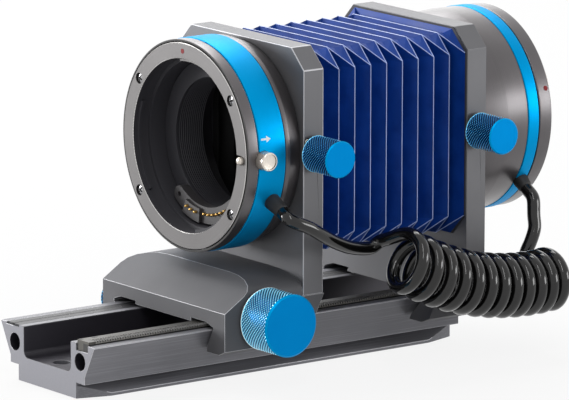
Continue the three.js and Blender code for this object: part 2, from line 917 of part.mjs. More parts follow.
function makeBellows() {
  const start = along(frontPlateAt + plateThickness + touchGap);
  const end = along(rearPlateAt - touchGap);
  const outer = [];
  const inner = [];
  function addFold(y, inset, flare, cut) {
    const place = (loop) => loop.map(([x, z]) => [x, y, z]);
    const half = ridgeHalf - inset + flare;
    const thin = inset + fabric;
    outer.push(place(pleatLoop(half, ridgeLow + inset, ridgeHigh - inset, cut)));
    inner.push(place(pleatLoop(half - fabric, ridgeLow + thin, ridgeHigh - thin, cut)));
  }
  for (let i = 0; i < 2 * pleats; i += 1) {
    const ridge = i % 2 === 1;
    const y = share(start, end, i / (2 * pleats));
    addFold(y, ridge ? 0 : pleatDepth, 0, ridge ? ridgeCut : valleyCut);
  }
  const lastRidge = share(start, end, 1 - 1 / (2 * pleats));
  const frameFace = along(rearPlateAt) - frameThickness - 2 * seat;
  addFold(share(lastRidge, frameFace, endValleyShare), endValleyDepth, 0, endCut - endValleyDepth);
  addFold(frameFace, 0, endFlare, endCut);
  const rings = [...outer, ...inner.reverse()];
  const count = outer[0].length;
  const positions = rings.flat(2);
  const faces = [];
  for (let i = 0; i < rings.length; i += 1) {
    const next = (i + 1) % rings.length;
    for (let j = 0; j < count; j += 1) {
      const k = (j + 1) % count;
      const a = i * count + j;
      const b = i * count + k;
      const c = next * count + j;
      const d = next * count + k;
      faces.push(a, b, c, b, d, c);
    }
  }
  const geometry = new THREE.BufferGeometry();
  geometry.setAttribute("position", new THREE.Float32BufferAttribute(positions, 3));
  geometry.setIndex(faces);
  return solid(geometry);
}
add("bellows", makeBellows(), blueFabric);

function addFrame(name, outer, from) {
  const inset = pleatDepth - frameLip;
  const opening = pleatLoop(ridgeHalf - inset, ridgeLow + inset, ridgeHigh - inset, frameCut / 2);
  const sheet = extrudedY(outer, from, from + frameThickness);
  add(name, sheet.subtract(extrudedY(opening, from - overrun, from + frameThickness + overrun)), mattBlack);
}
const frameLow = ridgeLow - frameMargin;
const frontFrame = pleatLoop(ridgeHalf + frameMargin, frameLow, ridgeHigh + frameMargin, frameCut);
const rearFrame = pleatLoop(plateHalf - rearFrameEdge, frameLow, plateTop - rearFrameEdge, plateCut);
addFrame("front_bellows_frame", frontFrame, along(frontPlateAt + plateThickness) + seat);
addFrame("rear_bellows_frame", rearFrame, along(rearPlateAt) - seat - frameThickness);

// Lens adapter: shell, blue band, back with the spigot, bayonet ring, baffle, contacts and lock.
const buttonHole = rodX(buttonRadius + buttonRoom, pinCircle, bandRadius + overrun, buttonAt, axisHeight);
const pinHoleEnd = buttonAt + pinLength / 2 + pinTravel;
const pinHole = rodY(pinRadius + pinRoom, mountFaceAt - overrun, pinHoleEnd, pinCircle, axisHeight);
const shellEnd = frontBandEnd;
const screwAngles = [-1, 1].flatMap((side) => [side * ringScrewAngle, 180 + side * ringScrewAngle]);

function ringScrew(angle, room) {
  const cone = lathe(
    [
      [0, 0],
      [ringScrewHead + room, 0],
      [ringScrewHead + room, ringScrewHeadDepth + room],
      [ringScrewShank + room, ringScrewHeadDepth + room],
      [ringScrewShank + room, ringScrewLength + room],
      [0, ringScrewLength + room],
    ],
    room > 0 ? pinFacets : 2 * pinFacets,
  );
  const x = ringScrewCircle * Math.cos(radians(angle));
  const z = axisHeight + ringScrewCircle * Math.sin(radians(angle));
  return solid(cone.translate(x, along(mountFaceAt), z));
}

function makeShell() {
  const shell = ring([
    [mountOuter + seat, mountFaceAt + lipAhead],
    [shellRadius - seat, mountFaceAt + lipAhead],
    [shellRadius, mountFaceAt + 2 * lipAhead],
    [shellRadius, frontBandAt - seat],
    [bandSeat, frontBandAt - seat],
    [bandSeat, shellEnd],
    [shellBore, shellEnd],
    [shellBore, mountSeat + lugRoom],
    [throat + seat, mountSeat + lugRoom],
    [throat + seat, mountSeat + seat],
    [mountOuter + seat, mountSeat + seat],
  ]);
  let body = shell.subtract(buttonHole).subtract(pinHole);
  for (const angle of screwAngles) {
    body = body.subtract(ringScrew(angle, 2 * seat));
  }
  return body;
}
add("front_adapter_shell", makeShell(), blackAnodised);

const bandSection = (seatRadius, outerRadius, from, to) => [
  [seatRadius + seat, from],
  [outerRadius - seat, from],
  [outerRadius, from + seat],
  [outerRadius, to - seat],
  [outerRadius - seat, to],
  [seatRadius + seat, to],
];
const frontBand = ring(bandSection(bandSeat, bandRadius, frontBandAt, frontBandEnd - seat));
add("front_band", frontBand.subtract(buttonHole), blueAnodised);

function makeAdapterBack() {
  const plateFace = frontPlateAt - touchGap;
  const plateBack = frontPlateAt + plateThickness - spigotEndGap;
  const middle = frontPlateAt + plateThickness / 2;
  return ring([
    [spigotBore, shellEnd + seat],
    [shellRadius, shellEnd + seat],
    [shellRadius - seat, share(shellEnd, plateFace, 1 / 4)],
    [backTaper, plateFace],
    [spigotRadius, plateFace],
    [spigotRadius, middle - grooveWidth / 2],
    [spigotRadius - grooveDepth, middle - grooveWidth / 2 + grooveDepth],
    [spigotRadius - grooveDepth, middle + grooveWidth / 2 - grooveDepth],
    [spigotRadius, middle + grooveWidth / 2],
    [spigotRadius, plateBack],
    [spigotBore, plateBack],
  ]);
}
add("front_adapter_back", makeAdapterBack(), blackAnodised);

function makeMountRing() {
  let mount = ring([
    [throat, mountFaceAt],
    [mountOuter, mountFaceAt],
    [mountOuter, mountSeat],
    [throat, mountSeat],
  ]);
  for (let i = 0; i < lugCount; i += 1) {
    const end = firstLugEnd + (fullTurn * i) / lugCount;
    mount = mount.add(
      sector(lugRadius, throat + overrun, end - lugSpan, end, mountFaceAt + lugSetback, mountSeat),
    );
  }
  for (const angle of screwAngles) {
    mount = mount.subtract(ringScrew(angle, 2 * seat));
  }
  return mount.subtract(pinHole);
}
add("lens_mount_ring", makeMountRing(), paleAnodised);
screwAngles.forEach((angle, i) => add(`ring_screw_${i + 1}`, ringScrew(angle, 0), darkSteel));

function makeBaffle() {
  const end = baffleAt + baffleLength;
  return ring([
    [shellBore - touchGap, baffleAt],
    [shellBore - touchGap, baffleAt + baffleFlange],
    [baffleRadius + baffleWall, baffleAt + baffleFlange],
    [baffleRadius + baffleWall, end],
    [baffleRadius, end],
    [baffleRadius, baffleAt],
  ]);
}
add("light_baffle", makeBaffle(), mattBlack);

const contactAngles = [
  ...Array.from({ length: leftContacts }, (_, i) => leftContactStart + leftContactStep * i),
  ...Array.from({ length: rightContacts }, (_, i) => rightContactStart + rightContactStep * i),
];
const contactPlaces = contactAngles.map((angle) => [
  contactCircle * Math.cos(radians(angle)),
  axisHeight + contactCircle * Math.sin(radians(angle)),
]);

function makeContactBlock() {
  const back = baffleAt - seat;
  const middle = (baffleRadius + blockOuter) / 2;
  const endX = middle * Math.cos(radians(blockStart));
  const endZ = axisHeight + middle * Math.sin(radians(blockStart));
  const endRadius = (blockOuter - baffleRadius) / 2;
  const stepInner = baffleRadius + stepIn;
  let block = sector(baffleRadius, blockOuter, blockStart, blockEnd, blockFace, back)
    .add(rodY(endRadius, blockFace, back, endX, endZ, smallFacets))
    .add(sector(stepInner, blockOuter, stepStart, stepEnd, stepFace, back))
    .subtract(rodY(blockHole, blockFace - overrun, blockFace + overrun, endX, endZ, holeFacets));
  for (const [x, z] of contactPlaces) {
    block = block.subtract(
      rodY(contactRadius + contactRoom, stepFace - overrun, back + overrun, x, z, pinFacets),
    );
  }
  return block;
}
add("lens_contact_block", makeContactBlock(), mattBlack);
contactPlaces.forEach(([x, z], i) => {
  const face = i < leftContacts ? stepFace : blockFace;
  const pin = rodY(contactRadius, face - contactStand, blockFace + contactInside, x, z, pinFacets);
  add(`lens_contact_${i + 1}`, pin, gold);
});

const pinFace = mountFaceAt - pinStand;
const lockPin = rodY(pinRadius, pinFace, pinFace + pinLength, pinCircle, axisHeight);
add("lens_lock_pin", lockPin, nickel);

function makeButton() {
  const face = bandRadius + buttonStand;
  return turnedX(
    [
      [0, buttonStem],
      [buttonRadius, buttonStem],
      [buttonRadius, face - buttonEdge],
      [buttonRadius - buttonEdge, face],
      [0, face],
    ],
    buttonAt,
    axisHeight,
  );
}
add("release_button", makeButton(), nickel);

// Camera adapter: flared barrel with its spigot, blue band, flange and bayonet.
function makeRearBarrel() {
  const plateBack = rearPlateAt + plateThickness + touchGap;
  const spigotEnd = rearPlateAt + spigotEndGap;
  const middle = rearPlateAt + plateThickness / 2;
  return ring([
    [spigotBore, spigotEnd],
    [spigotRadius, spigotEnd],
    [spigotRadius, middle - grooveWidth / 2],
    [spigotRadius - grooveDepth, middle - grooveWidth / 2 + grooveDepth],
    [spigotRadius - grooveDepth, middle + grooveWidth / 2 - grooveDepth],
    [spigotRadius, middle + grooveWidth / 2],
    [spigotRadius, plateBack],
    [rearNeckRadius, plateBack],
    [rearShellRadius, plateBack + rearFlareRun],
    [rearShellRadius, rearBandAt - seat],
    [rearBandSeat, rearBandAt - seat],
    [rearBandSeat, rearBandEnd],
    [rearBore, rearBandEnd],
    [rearBore, plateBack + rearFlareRun],
    [spigotBore, plateBack],
  ]);
}
add("camera_adapter_barrel", makeRearBarrel(), blackAnodised);
const rearBand = ring(bandSection(rearBandSeat, rearBandRadius, rearBandAt, rearBandEnd - seat));
add("rear_band", rearBand, blueAnodised);

const rearFlange = ring([
  [rearBore, rearBandEnd + seat],
  [flangeRadius, rearBandEnd + seat],
  [flangeRadius, flangeFace - flangeChamfer],
  [flangeRadius - flangeChamfer, flangeFace],
  [bayonetLug + bayonetRim + seat, flangeFace],
  [bayonetLug + bayonetRim + seat, bayonetSeat],
  [rearBore, bayonetSeat],
]);
add("camera_flange", rearFlange, blackAnodised);

function makeBayonet() {
  const lugEnd = flangeFace + bayonetStand - seat;
  let bayonet = ring([
    [bayonetBore, bayonetSeat + seat],
    [bayonetLug + bayonetRim, bayonetSeat + seat],
    [bayonetLug + bayonetRim, flangeFace],
    [bayonetRadius, flangeFace],
    [bayonetRadius, lugEnd],
    [bayonetBore, lugEnd],
  ]);
  for (let i = 0; i < lugCount; i += 1) {
    const start = bayonetLugStart + (fullTurn * i) / lugCount;
    const end = start + bayonetLugSpan;
    const inner = share(bayonetBore, bayonetRadius, 1 / 2);
    bayonet = bayonet.add(sector(inner, bayonetLug, start, end, lugEnd - bayonetLugThickness, lugEnd));
  }
  return bayonet;
}
add("camera_bayonet", makeBayonet(), nickel);
add(
  "camera_contact_block",
  sector(
    rearBlockInner,
    rearBlockOuter,
    blockStart,
    blockEnd,
    flangeFace + bayonetStand - rearBlockSetback - rearBlockDepth,
    flangeFace + bayonetStand - rearBlockSetback,
  ),
  mattBlack,
);

// Cord: a lead from each band and one coil between them, each end straight for one diameter.
const exitPoint = (angle, station, radius) =>
  new THREE.Vector3(
    radius * Math.cos(radians(angle)),
    along(station),
    axisHeight + radius * Math.sin(radians(angle)),
  );
const exitDirection = (angle) => new THREE.Vector3(Math.cos(radians(angle)), 0, Math.sin(radians(angle)));

function addRelief(name, angle, station, bandOuter, radius, length) {
  const section = [[0, 0], [radius, 0], [radius * reliefTipShare, length], [0, length]];
  const cone = lathe(section, holeFacets);
  const turn = new THREE.Quaternion().setFromUnitVectors(new THREE.Vector3(0, 1, 0), exitDirection(angle));
  const start = exitPoint(angle, station, bandOuter + touchGap);
  add(name, solid(cone.applyQuaternion(turn).translate(start.x, start.y, start.z)), glossPlastic);
}
addRelief(
  "front_strain_relief",
  frontExitAngle,
  frontExitAt,
  bandRadius,
  frontReliefRadius,
  frontReliefLength,
);
addRelief(
  "rear_strain_relief",
  rearExitAngle,
  rearExitAt,
  rearBandRadius,
  rearReliefRadius,
  rearReliefLength,
);

class Coil extends THREE.Curve {
  // The coil's axis sags between its two leads, and its turns lean with it, less and less.
  axisPoint(turn) {
    const growth = (coilEndPitch - coilStartPitch) / (2 * coilTurns);
    const station = coilStart + coilStartPitch * turn + growth * turn * turn;
    const reach = (coilLowAt - station) / (coilLowAt - coilStart);
    return new THREE.Vector3(coilX, along(station), coilLowHeight + coilSag * reach * reach);
  }

  turnPoint(turn) {
    const tilt = radians(share(coilStartTilt, coilEndTilt, turn / coilTurns));
    const across = new THREE.Vector3(1, 0, 0);
    const upward = new THREE.Vector3(0, Math.sin(tilt), Math.cos(tilt));
    const angle = radians(coilStartAngle) - 2 * Math.PI * turn;
    return this.axisPoint(turn)
      .addScaledVector(across, coilRadius * Math.cos(angle))
      .addScaledVector(upward, coilRadius * Math.sin(angle));
  }

  headingAt(turn) {
    const step = 1 / 1000;
    return this.turnPoint(turn + step).sub(this.turnPoint(turn - step)).normalize();
  }

  // The parameter counts turns, with one diameter of straight cord before and after them.
  getPoint(t) {
    const lead = cordDiameter / (2 * Math.PI * coilRadius);
    const turn = share(-lead, coilTurns + lead, t);
    if (turn < 0) {
      return this.turnPoint(0).addScaledVector(this.headingAt(0), 2 * Math.PI * coilRadius * turn);
    }
    if (turn > coilTurns) {
      const beyond = 2 * Math.PI * coilRadius * (turn - coilTurns);
      return this.turnPoint(coilTurns).addScaledVector(this.headingAt(coilTurns), beyond);
    }
    return this.turnPoint(turn);
  }
}

const coil = new Coil();
coil.arcLengthDivisions = 1200;

function leastGap() {
  const perTurn = 36;
  const points = [];
  for (let i = 0; i <= coilTurns * perTurn; i += 1) {
    points.push(coil.turnPoint(i / perTurn));
  }
  let least = Infinity;
  for (let i = 0; i < points.length; i += 1) {
    for (let j = i + perTurn / 2; j < points.length; j += 1) {
      least = Math.min(least, points[i].distanceTo(points[j]));
    }
  }
  return least - cordDiameter;
}
console.log(`coil: least gap between turns ${leastGap().toFixed(2)} mm`);

function cordSolid(path, steps, sides) {
  const section = outline(circle(cordDiameter / 2, sides));
  return solid(new THREE.ExtrudeGeometry(section, { steps, extrudePath: path, bevelEnabled: false }));
}
const coilStepCount = Math.round(coilSteps * (coilTurns + cordDiameter / (Math.PI * coilRadius)));
add("coiled_cord", cordSolid(coil, coilStepCount, coilSides), glossPlastic);

const routePoints = (route, station) =>
  route.map(
    ([out, behind, below]) =>
      new THREE.Vector3(plateHalf + out, along(station + behind), axisHeight - below),
  );

function addLead(name, start, route, end) {
  const points = [start.point, start.point.clone().addScaledVector(start.direction, cordDiameter), ...route];
  points.push(end.point.clone().addScaledVector(end.direction, -cordDiameter), end.point);
  const path = new THREE.CatmullRomCurve3(points, false, "centripetal");
  add(name, cordSolid(path, 2 * points.length, leadSides), glossPlastic);
}

const frontExit = {
  point: exitPoint(frontExitAngle, frontExitAt, bandRadius + frontReliefLength + 2 * touchGap),
  direction: exitDirection(frontExitAngle),
};
const coilFront = {
  point: coil.getPoint(0).addScaledVector(coil.headingAt(0), -touchGap),
  direction: coil.headingAt(0),
};
addLead("cord_front_lead", frontExit, routePoints(frontRoute, frontExitAt), coilFront);

const rearExit = {
  point: exitPoint(rearExitAngle, rearExitAt, rearBandRadius + rearReliefLength + 2 * touchGap),
  direction: exitDirection(rearExitAngle),
};
const coilRear = {
  point: coil.getPoint(1).addScaledVector(coil.headingAt(coilTurns), touchGap),
  direction: coil.headingAt(coilTurns).negate(),
};
const coilEndAt = coil.axisPoint(coilTurns).y - railStart;
const rearRoute = [...routePoints(rearRouteTop, rearExitAt), ...routePoints(rearRouteFoot, coilEndAt)];
addLead("cord_rear_lead", rearExit, rearRoute, coilRear);

export default part;
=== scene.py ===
"""Looks of the macro bellows unit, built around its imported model."""

from math import asin, cos, degrees, hypot, pi, radians, sin, sqrt

import bmesh
import bpy
from mathutils import Matrix, Vector


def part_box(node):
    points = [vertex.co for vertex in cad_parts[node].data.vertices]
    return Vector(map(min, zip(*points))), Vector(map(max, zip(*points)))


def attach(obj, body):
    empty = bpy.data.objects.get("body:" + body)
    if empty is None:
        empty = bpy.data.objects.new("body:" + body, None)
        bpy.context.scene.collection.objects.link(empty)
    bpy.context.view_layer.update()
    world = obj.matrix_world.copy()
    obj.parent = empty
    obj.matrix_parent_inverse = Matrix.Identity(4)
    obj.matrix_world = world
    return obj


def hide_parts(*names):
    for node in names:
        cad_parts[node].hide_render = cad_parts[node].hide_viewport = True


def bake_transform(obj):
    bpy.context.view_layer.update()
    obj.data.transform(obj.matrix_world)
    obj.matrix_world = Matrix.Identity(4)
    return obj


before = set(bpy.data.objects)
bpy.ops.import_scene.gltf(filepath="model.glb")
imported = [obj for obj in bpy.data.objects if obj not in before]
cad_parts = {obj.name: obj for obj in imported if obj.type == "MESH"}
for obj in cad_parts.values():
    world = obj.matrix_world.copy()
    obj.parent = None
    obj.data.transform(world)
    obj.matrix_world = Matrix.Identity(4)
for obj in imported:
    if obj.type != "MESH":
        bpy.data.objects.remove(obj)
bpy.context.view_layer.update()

# Sizes are in millimetres until a mesh is made. X is across the rail with the drive knob on +X,
# Y runs from the lens towards the camera and Z is up.
MM = 0.001
SMOOTH_ANGLE = 32


def box_mm(node):
    low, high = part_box(node)
    return low / MM, high / MM


def middle(low, high, axis):
    return (low[axis] + high[axis]) / 2


# Places taken from the frame
rail_low, rail_high = box_mm("rail")
front_plate_low, front_plate_high = box_mm("front_standard")
rear_plate_low, rear_plate_high = box_mm("rear_standard")
bellows_low, bellows_high = box_mm("bellows")
band_low, band_high = box_mm("front_band")
mount_low, mount_high = box_mm("lens_mount_ring")
rear_band_low, rear_band_high = box_mm("rear_band")
flange_low, flange_high = box_mm("camera_flange")
bayonet_low, bayonet_high = box_mm("camera_bayonet")
AXIS_Z = middle(band_low, band_high, 2)
BELLOWS_Z = middle(bellows_low, bellows_high, 2)


# Mesh builders
def add_object(name, data):
    added = bpy.data.objects.new(name, data)
    bpy.context.scene.collection.objects.link(added)
    return added


def plain_mesh(name, verts, faces, materials, indices=None):
    """A piece from points in millimetres, just as they are given."""
    mesh = bpy.data.meshes.new(name)
    mesh.from_pydata([Vector(v) * MM for v in verts], [], faces)
    for material in materials:
        mesh.materials.append(material)
    if indices:
        mesh.polygons.foreach_set("material_index", indices)
    return add_object(name, mesh)


def link_mesh(name, verts, faces, materials, indices=None, smooth_angle=SMOOTH_ANGLE, merge=1e-4):
    """A piece whose doubled points are joined and whose edges are smooth up to an angle."""
    piece = plain_mesh(name, verts, faces, materials, indices)
    work = bmesh.new()
    work.from_mesh(piece.data)
    bmesh.ops.remove_doubles(work, verts=work.verts, dist=merge * MM)
    bmesh.ops.dissolve_degenerate(work, edges=work.edges, dist=merge * MM)
    bmesh.ops.recalc_face_normals(work, faces=work.faces)
    work.to_mesh(piece.data)
    work.free()
    piece.data.shade_smooth()
    piece.data.set_sharp_from_angle(angle=radians(smooth_angle))
    return piece


def stands_for(piece, body, slot, *nodes):
    """Lets a finished piece ride on its body in place of its CAD nodes."""
    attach(piece, body)
    if nodes:
        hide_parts(*nodes)


def rounded(profile, radius, steps=3):
    """A closed outline with each corner eased by a small curve."""
    eased = []
    for i, point in enumerate(profile):
        corner = Vector(point)
        before = Vector(profile[i - 1]) - corner
        after = Vector(profile[(i + 1) % len(profile)]) - corner
        if corner[0] <= 0 or before.length == 0 or after.length == 0:
            eased.append(corner)
            continue
        start = corner + before.normalized() * min(radius, 0.45 * before.length)
        end = corner + after.normalized() * min(radius, 0.45 * after.length)
        for step in range(steps + 1):
            t = step / steps
            eased.append(start.lerp(corner, t).lerp(corner.lerp(end, t), t))
    return [(p[0], p[1]) for p in eased]


def about_y(x, z):
    return lambda radius, along, angle: (x + radius * cos(angle), along, z + radius * sin(angle))


def about_x(y, z):
    return lambda radius, along, angle: (along, y + radius * cos(angle), z + radius * sin(angle))


def even_angles(count):
    return [2 * pi * i / count for i in range(count)]


def swept(profile_at, angles, place):
    """Points and faces of a closed outline carried once round an axis."""
    verts, faces = [], []
    for angle in angles:
        profile = profile_at(angle)
        verts += [place(radius, along, angle) for radius, along in profile]
    count, turns = len(profile), len(angles)
    for i in range(turns):
        here, ahead = i * count, (i + 1) % turns * count
        for j in range(count):
            k = (j + 1) % count
            faces.append((here + j, here + k, ahead + k, ahead + j))
    return verts, faces


def lathe(name, profile, place, materials, segments=180, round_to=0.15, paint=None):
    """A turned piece. paint gives each face's material from its mean radius and way along the axis."""
    outline = rounded(profile, round_to)
    verts, faces = swept(lambda angle: outline, even_angles(segments), place)
    indices = None
    if paint:
        ends = zip(outline, outline[1:] + outline[:1])
        indices = [paint((a[0] + b[0]) / 2, (a[1] + b[1]) / 2) for a, b in ends] * segments
    return link_mesh(name, verts, faces, materials, indices)


def box_faces(x, y, z):
    """A box between pairs of x, y and z."""
    corners = [Vector((a, b, c)) for a in x for b in y for c in z]
    return corners, [(0, 1, 3, 2), (4, 5, 7, 6), (0, 1, 5, 4), (2, 3, 7, 6), (0, 2, 6, 4), (1, 3, 7, 5)]


def joined(parts):
    """Several point and face lists as one."""
    verts, faces = [], []
    for part_verts, part_faces in parts:
        offset = len(verts)
        verts += part_verts
        faces += [tuple(i + offset for i in face) for face in part_faces]
    return verts, faces


def disc_cutter(place, radius, start, end):
    """A round cutter along an axis, whose cut surfaces take the near-black painted shade."""
    profile = [(0, start), (radius, start), (radius, end), (0, end)]
    return link_mesh("cutter", *swept(lambda angle: profile, even_angles(48), place), [painted_shade])


def carve(piece, cutters):
    """Cuts the cutters out of a piece. The cut surfaces take the cutters' own material."""
    for cutter in cutters:
        cut = piece.modifiers.new("cut", "BOOLEAN")
        cut.object = cutter
        cut.operation = "DIFFERENCE"
        cut.solver = "EXACT"
        cut.material_mode = "TRANSFER"
    graph = bpy.context.evaluated_depsgraph_get()
    mesh = bpy.data.meshes.new_from_object(piece.evaluated_get(graph))
    piece.modifiers.clear()
    piece.data = mesh
    mesh.set_sharp_from_angle(angle=radians(SMOOTH_ANGLE))
    for cutter in cutters:
        bpy.data.objects.remove(cutter)


# Material builders. Colours are written in 0 to 255
BODY_GREY = ((95, 95, 98), (105, 105, 108), 0.44, 0.35)
RAIL_GLOSS = (0.42, 0.35)
TURNING_PITCH = 0.18
THREAD = 0.22
CHANNEL_HALF = 12.7
CHANNEL_FLOOR = 7.8
HOLE_X = 17.7
HOLE_Z = 11.9
HOLE_RADIUS = 2.8
OUTER_EDGE = 18.5


def srgb(*colour):
    """A written colour as linear values."""
    def linear(value):
        value /= 255
        return value / 12.92 if value <= 0.04045 else ((value + 0.055) / 1.055) ** 2.4

    return (*map(linear, colour), 1)


class Nodes:
    """The node tree of a material or a world."""

    def __init__(self, owner):
        owner.use_nodes = True
        self.tree = owner.node_tree

    def node(self, kind, **settings):
        node = self.tree.nodes.new(kind)
        for key, value in settings.items():
            setattr(node, key, value)
        return node

    def feed(self, socket, value):
        """Gives a socket another node's output or a plain value."""
        if hasattr(value, "is_output"):
            self.tree.links.new(value, socket)
        else:
            socket.default_value = value

    def math(self, operation, *values):
        node = self.node("ShaderNodeMath", operation=operation)
        for socket, value in zip(node.inputs, values):
            self.feed(socket, value)
        return node.outputs[0]

    def spread(self, value, low, high, from_low=0.3, from_high=0.7):
        node = self.node("ShaderNodeMapRange")
        for socket, number in zip(node.inputs, (value, from_low, from_high, low, high)):
            self.feed(socket, number)
        return node.outputs["Result"]

    def seen(self):
        """1 on the rays that come from the camera or from a glossy surface."""
        rays = self.node("ShaderNodeLightPath").outputs
        return self.math("MAXIMUM", rays["Is Camera Ray"], rays["Is Glossy Ray"])


class Finish(Nodes):
    """One procedural material and the nodes that vary it."""

    def __init__(self, name, roughness, metallic=0.0, **sockets):
        self.material = bpy.data.materials.new(name)
        super().__init__(self.material)
        self.inputs = self.tree.nodes["Principled BSDF"].inputs
        sockets.update(Roughness=roughness, Metallic=metallic)
        for socket, value in sockets.items():
            self.inputs[socket.replace("_", " ")].default_value = value
        self.place = self.node("ShaderNodeTexCoord").outputs["Object"]

    def product(self, first, *others):
        for other in others:
            first = self.math("MULTIPLY", first, other)
        return first

    def blend(self, a, b, share):
        """The sum of a share of a and the rest of b."""
        return self.math("ADD", self.product(a, share), self.product(b, 1 - share))

    def below(self, value, limit_mm):
        return self.math("LESS_THAN", value, limit_mm * MM)

    def above(self, value, limit_mm):
        return self.math("GREATER_THAN", value, limit_mm * MM)

    def distance(self, u, v):
        return self.math("SQRT", self.math("ADD", self.product(u, u), self.product(v, v)))

    def noise(self, size_mm, detail=2.0, stretch=(1, 1, 1)):
        """Noise whose grains are about size_mm across."""
        mapping = self.node("ShaderNodeMapping")
        mapping.inputs["Scale"].default_value = [s / (size_mm * MM) for s in stretch]
        self.feed(mapping.inputs["Vector"], self.place)
        noise = self.node("ShaderNodeTexNoise")
        noise.inputs["Scale"].default_value = 1
        noise.inputs["Detail"].default_value = detail
        self.feed(noise.inputs["Vector"], mapping.outputs["Vector"])
        return noise.outputs["Fac"]

    def mix(self, factor, low, high):
        """A colour between two others, each written or from a node."""
        node = self.node("ShaderNodeMix", data_type="RGBA")
        self.feed(node.inputs["Factor"], factor)
        for socket, value in ((6, low), (7, high)):
            self.feed(node.inputs[socket], srgb(*value) if isinstance(value, tuple) else value)
        return node.outputs[2]

    def colour(self, factor, low, high):
        self.feed(self.inputs["Base Color"], self.mix(factor, low, high))

    def so_far(self):
        """The base colour as it stands."""
        return self.inputs["Base Color"].links[0].from_socket

    def rough(self, value, low, high):
        self.feed(self.inputs["Roughness"], self.spread(value, low, high))

    def bump(self, height, depth_mm, strength=1.0):
        node = self.node("ShaderNodeBump")
        node.inputs["Strength"].default_value = strength
        node.inputs["Distance"].default_value = depth_mm * MM
        self.feed(node.inputs["Height"], height)
        normal = self.inputs["Normal"]
        if normal.is_linked:
            self.feed(node.inputs["Normal"], normal.links[0].from_socket)
        self.feed(normal, node.outputs["Normal"])

    def axes(self):
        """The place along X, Y and Z."""
        split = self.node("ShaderNodeSeparateXYZ")
        self.feed(split.inputs[0], self.place)
        return split.outputs

    def ring_radius(self, across_mm, z_mm, across=0):
        """Distance from an axis along Y, or along X where across is 1."""
        axes = self.axes()
        u = self.math("SUBTRACT", axes[across], across_mm * MM)
        return self.distance(u, self.math("SUBTRACT", axes[2], z_mm * MM))


def anodised(name, low, high, roughness, metallic, grain_mm=0.12, specular=0.5):
    """Bead-blasted and anodised aluminium, with a fine grain and a slight change of tone."""
    finish = Finish(name, roughness, metallic, Specular_IOR_Level=specular)
    grain = finish.noise(grain_mm)
    factor = finish.blend(finish.noise(26, 3), grain, 0.6)
    finish.colour(finish.spread(factor, 0, 1, 0.35, 0.65), low, high)
    finish.rough(grain, roughness - 0.06, roughness + 0.08)
    finish.bump(grain, 0.012, 0.7)
    return finish


def turned(name, low, high, roughness, metallic, coat=0.0, specular=0.5):
    """Anodised aluminium that keeps the fine marks of a lathe, round the optical axis."""
    finish = Finish(name, roughness, metallic, Coat_Weight=coat, Coat_Roughness=0.3, Specular_IOR_Level=specular)
    marks = finish.node("ShaderNodeTexNoise", noise_dimensions="1D")
    marks.inputs["Scale"].default_value = 1
    marks.inputs["Detail"].default_value = 3
    run = finish.math("ADD", finish.ring_radius(0, AXIS_Z), finish.axes()[1])
    finish.feed(marks.inputs["W"], finish.product(run, 1 / (TURNING_PITCH * MM)))
    marks = marks.outputs["Fac"]
    finish.bump(marks, 0.006, 0.3)
    factor = finish.blend(marks, finish.noise(18, 3), 0.5)
    finish.colour(finish.spread(factor, 0, 1, 0.35, 0.65), low, high)
    finish.rough(marks, roughness - 0.05, roughness + 0.07)
    return finish.material


def rail_finish():
    """The body metal of the rail, with painted shade inside its channel and in the holes at its ends, lighter end
    faces, and long extrusion marks on its sides.
    """
    finish = anodised("rail_metal", (104, 104, 109), (116, 116, 121), *RAIL_GLOSS)
    x, y, z = finish.axes()
    x = finish.math("ABSOLUTE", x)
    # Painted shade: the channel's walls and floor and the holes are darkened, but not on the end faces.
    in_channel = finish.product(
        finish.below(x, CHANNEL_HALF + 0.02),
        finish.below(z, rail_high.z - 0.25),
        finish.above(z, CHANNEL_FLOOR - 0.05),
    )
    away = finish.math("SUBTRACT", x, HOLE_X * MM)
    rise = finish.math("SUBTRACT", z, HOLE_Z * MM)
    in_hole = finish.below(finish.distance(away, rise), HOLE_RADIUS + 0.1)
    at_end = finish.above(finish.math("ABSOLUTE", y), rail_high.y - 0.03)
    inside = finish.product(finish.math("MAXIMUM", in_channel, in_hole), finish.math("SUBTRACT", 1.0, at_end))
    marks = finish.noise(0.3, 2, (1, 0.01, 1))
    plain = finish.mix(finish.spread(marks, 0, 0.6, 0.5, 0.75), finish.so_far(), (142, 142, 148))
    # The painted shade colour.
    dark = finish.mix(finish.noise(0.2), (44, 42, 49), (54, 52, 59))
    end_face = finish.mix(finish.noise(0.25), (122, 122, 129), (138, 138, 144))
    finish.colour(at_end, finish.mix(inside, plain, dark), end_face)
    finish.bump(marks, 0.008, 0.5)
    return finish.material


def rail_edge_finish():
    """The rail's eased edges: a painted highlight on its outer corners, plain inside."""
    finish = anodised("rail_edge_metal", (84, 84, 88), (96, 96, 100), *RAIL_GLOSS)
    # Painted highlight: the outer eased edges are near-white.
    outer = finish.above(finish.math("ABSOLUTE", finish.axes()[0]), OUTER_EDGE)
    finish.colour(outer, finish.so_far(), (186, 186, 190))
    return finish.material


def plate_finish():
    """The body metal of the front standard, with a painted highlight along its right rear edge."""
    finish = anodised("front_plate_metal", *BODY_GREY)
    x, y, _ = finish.axes()
    # Painted highlight along the right rear edge.
    corner = finish.product(finish.above(x, front_plate_high.x - 0.3), finish.above(y, front_plate_high.y - 0.3))
    finish.colour(corner, finish.so_far(), (196, 196, 200))
    return finish.material


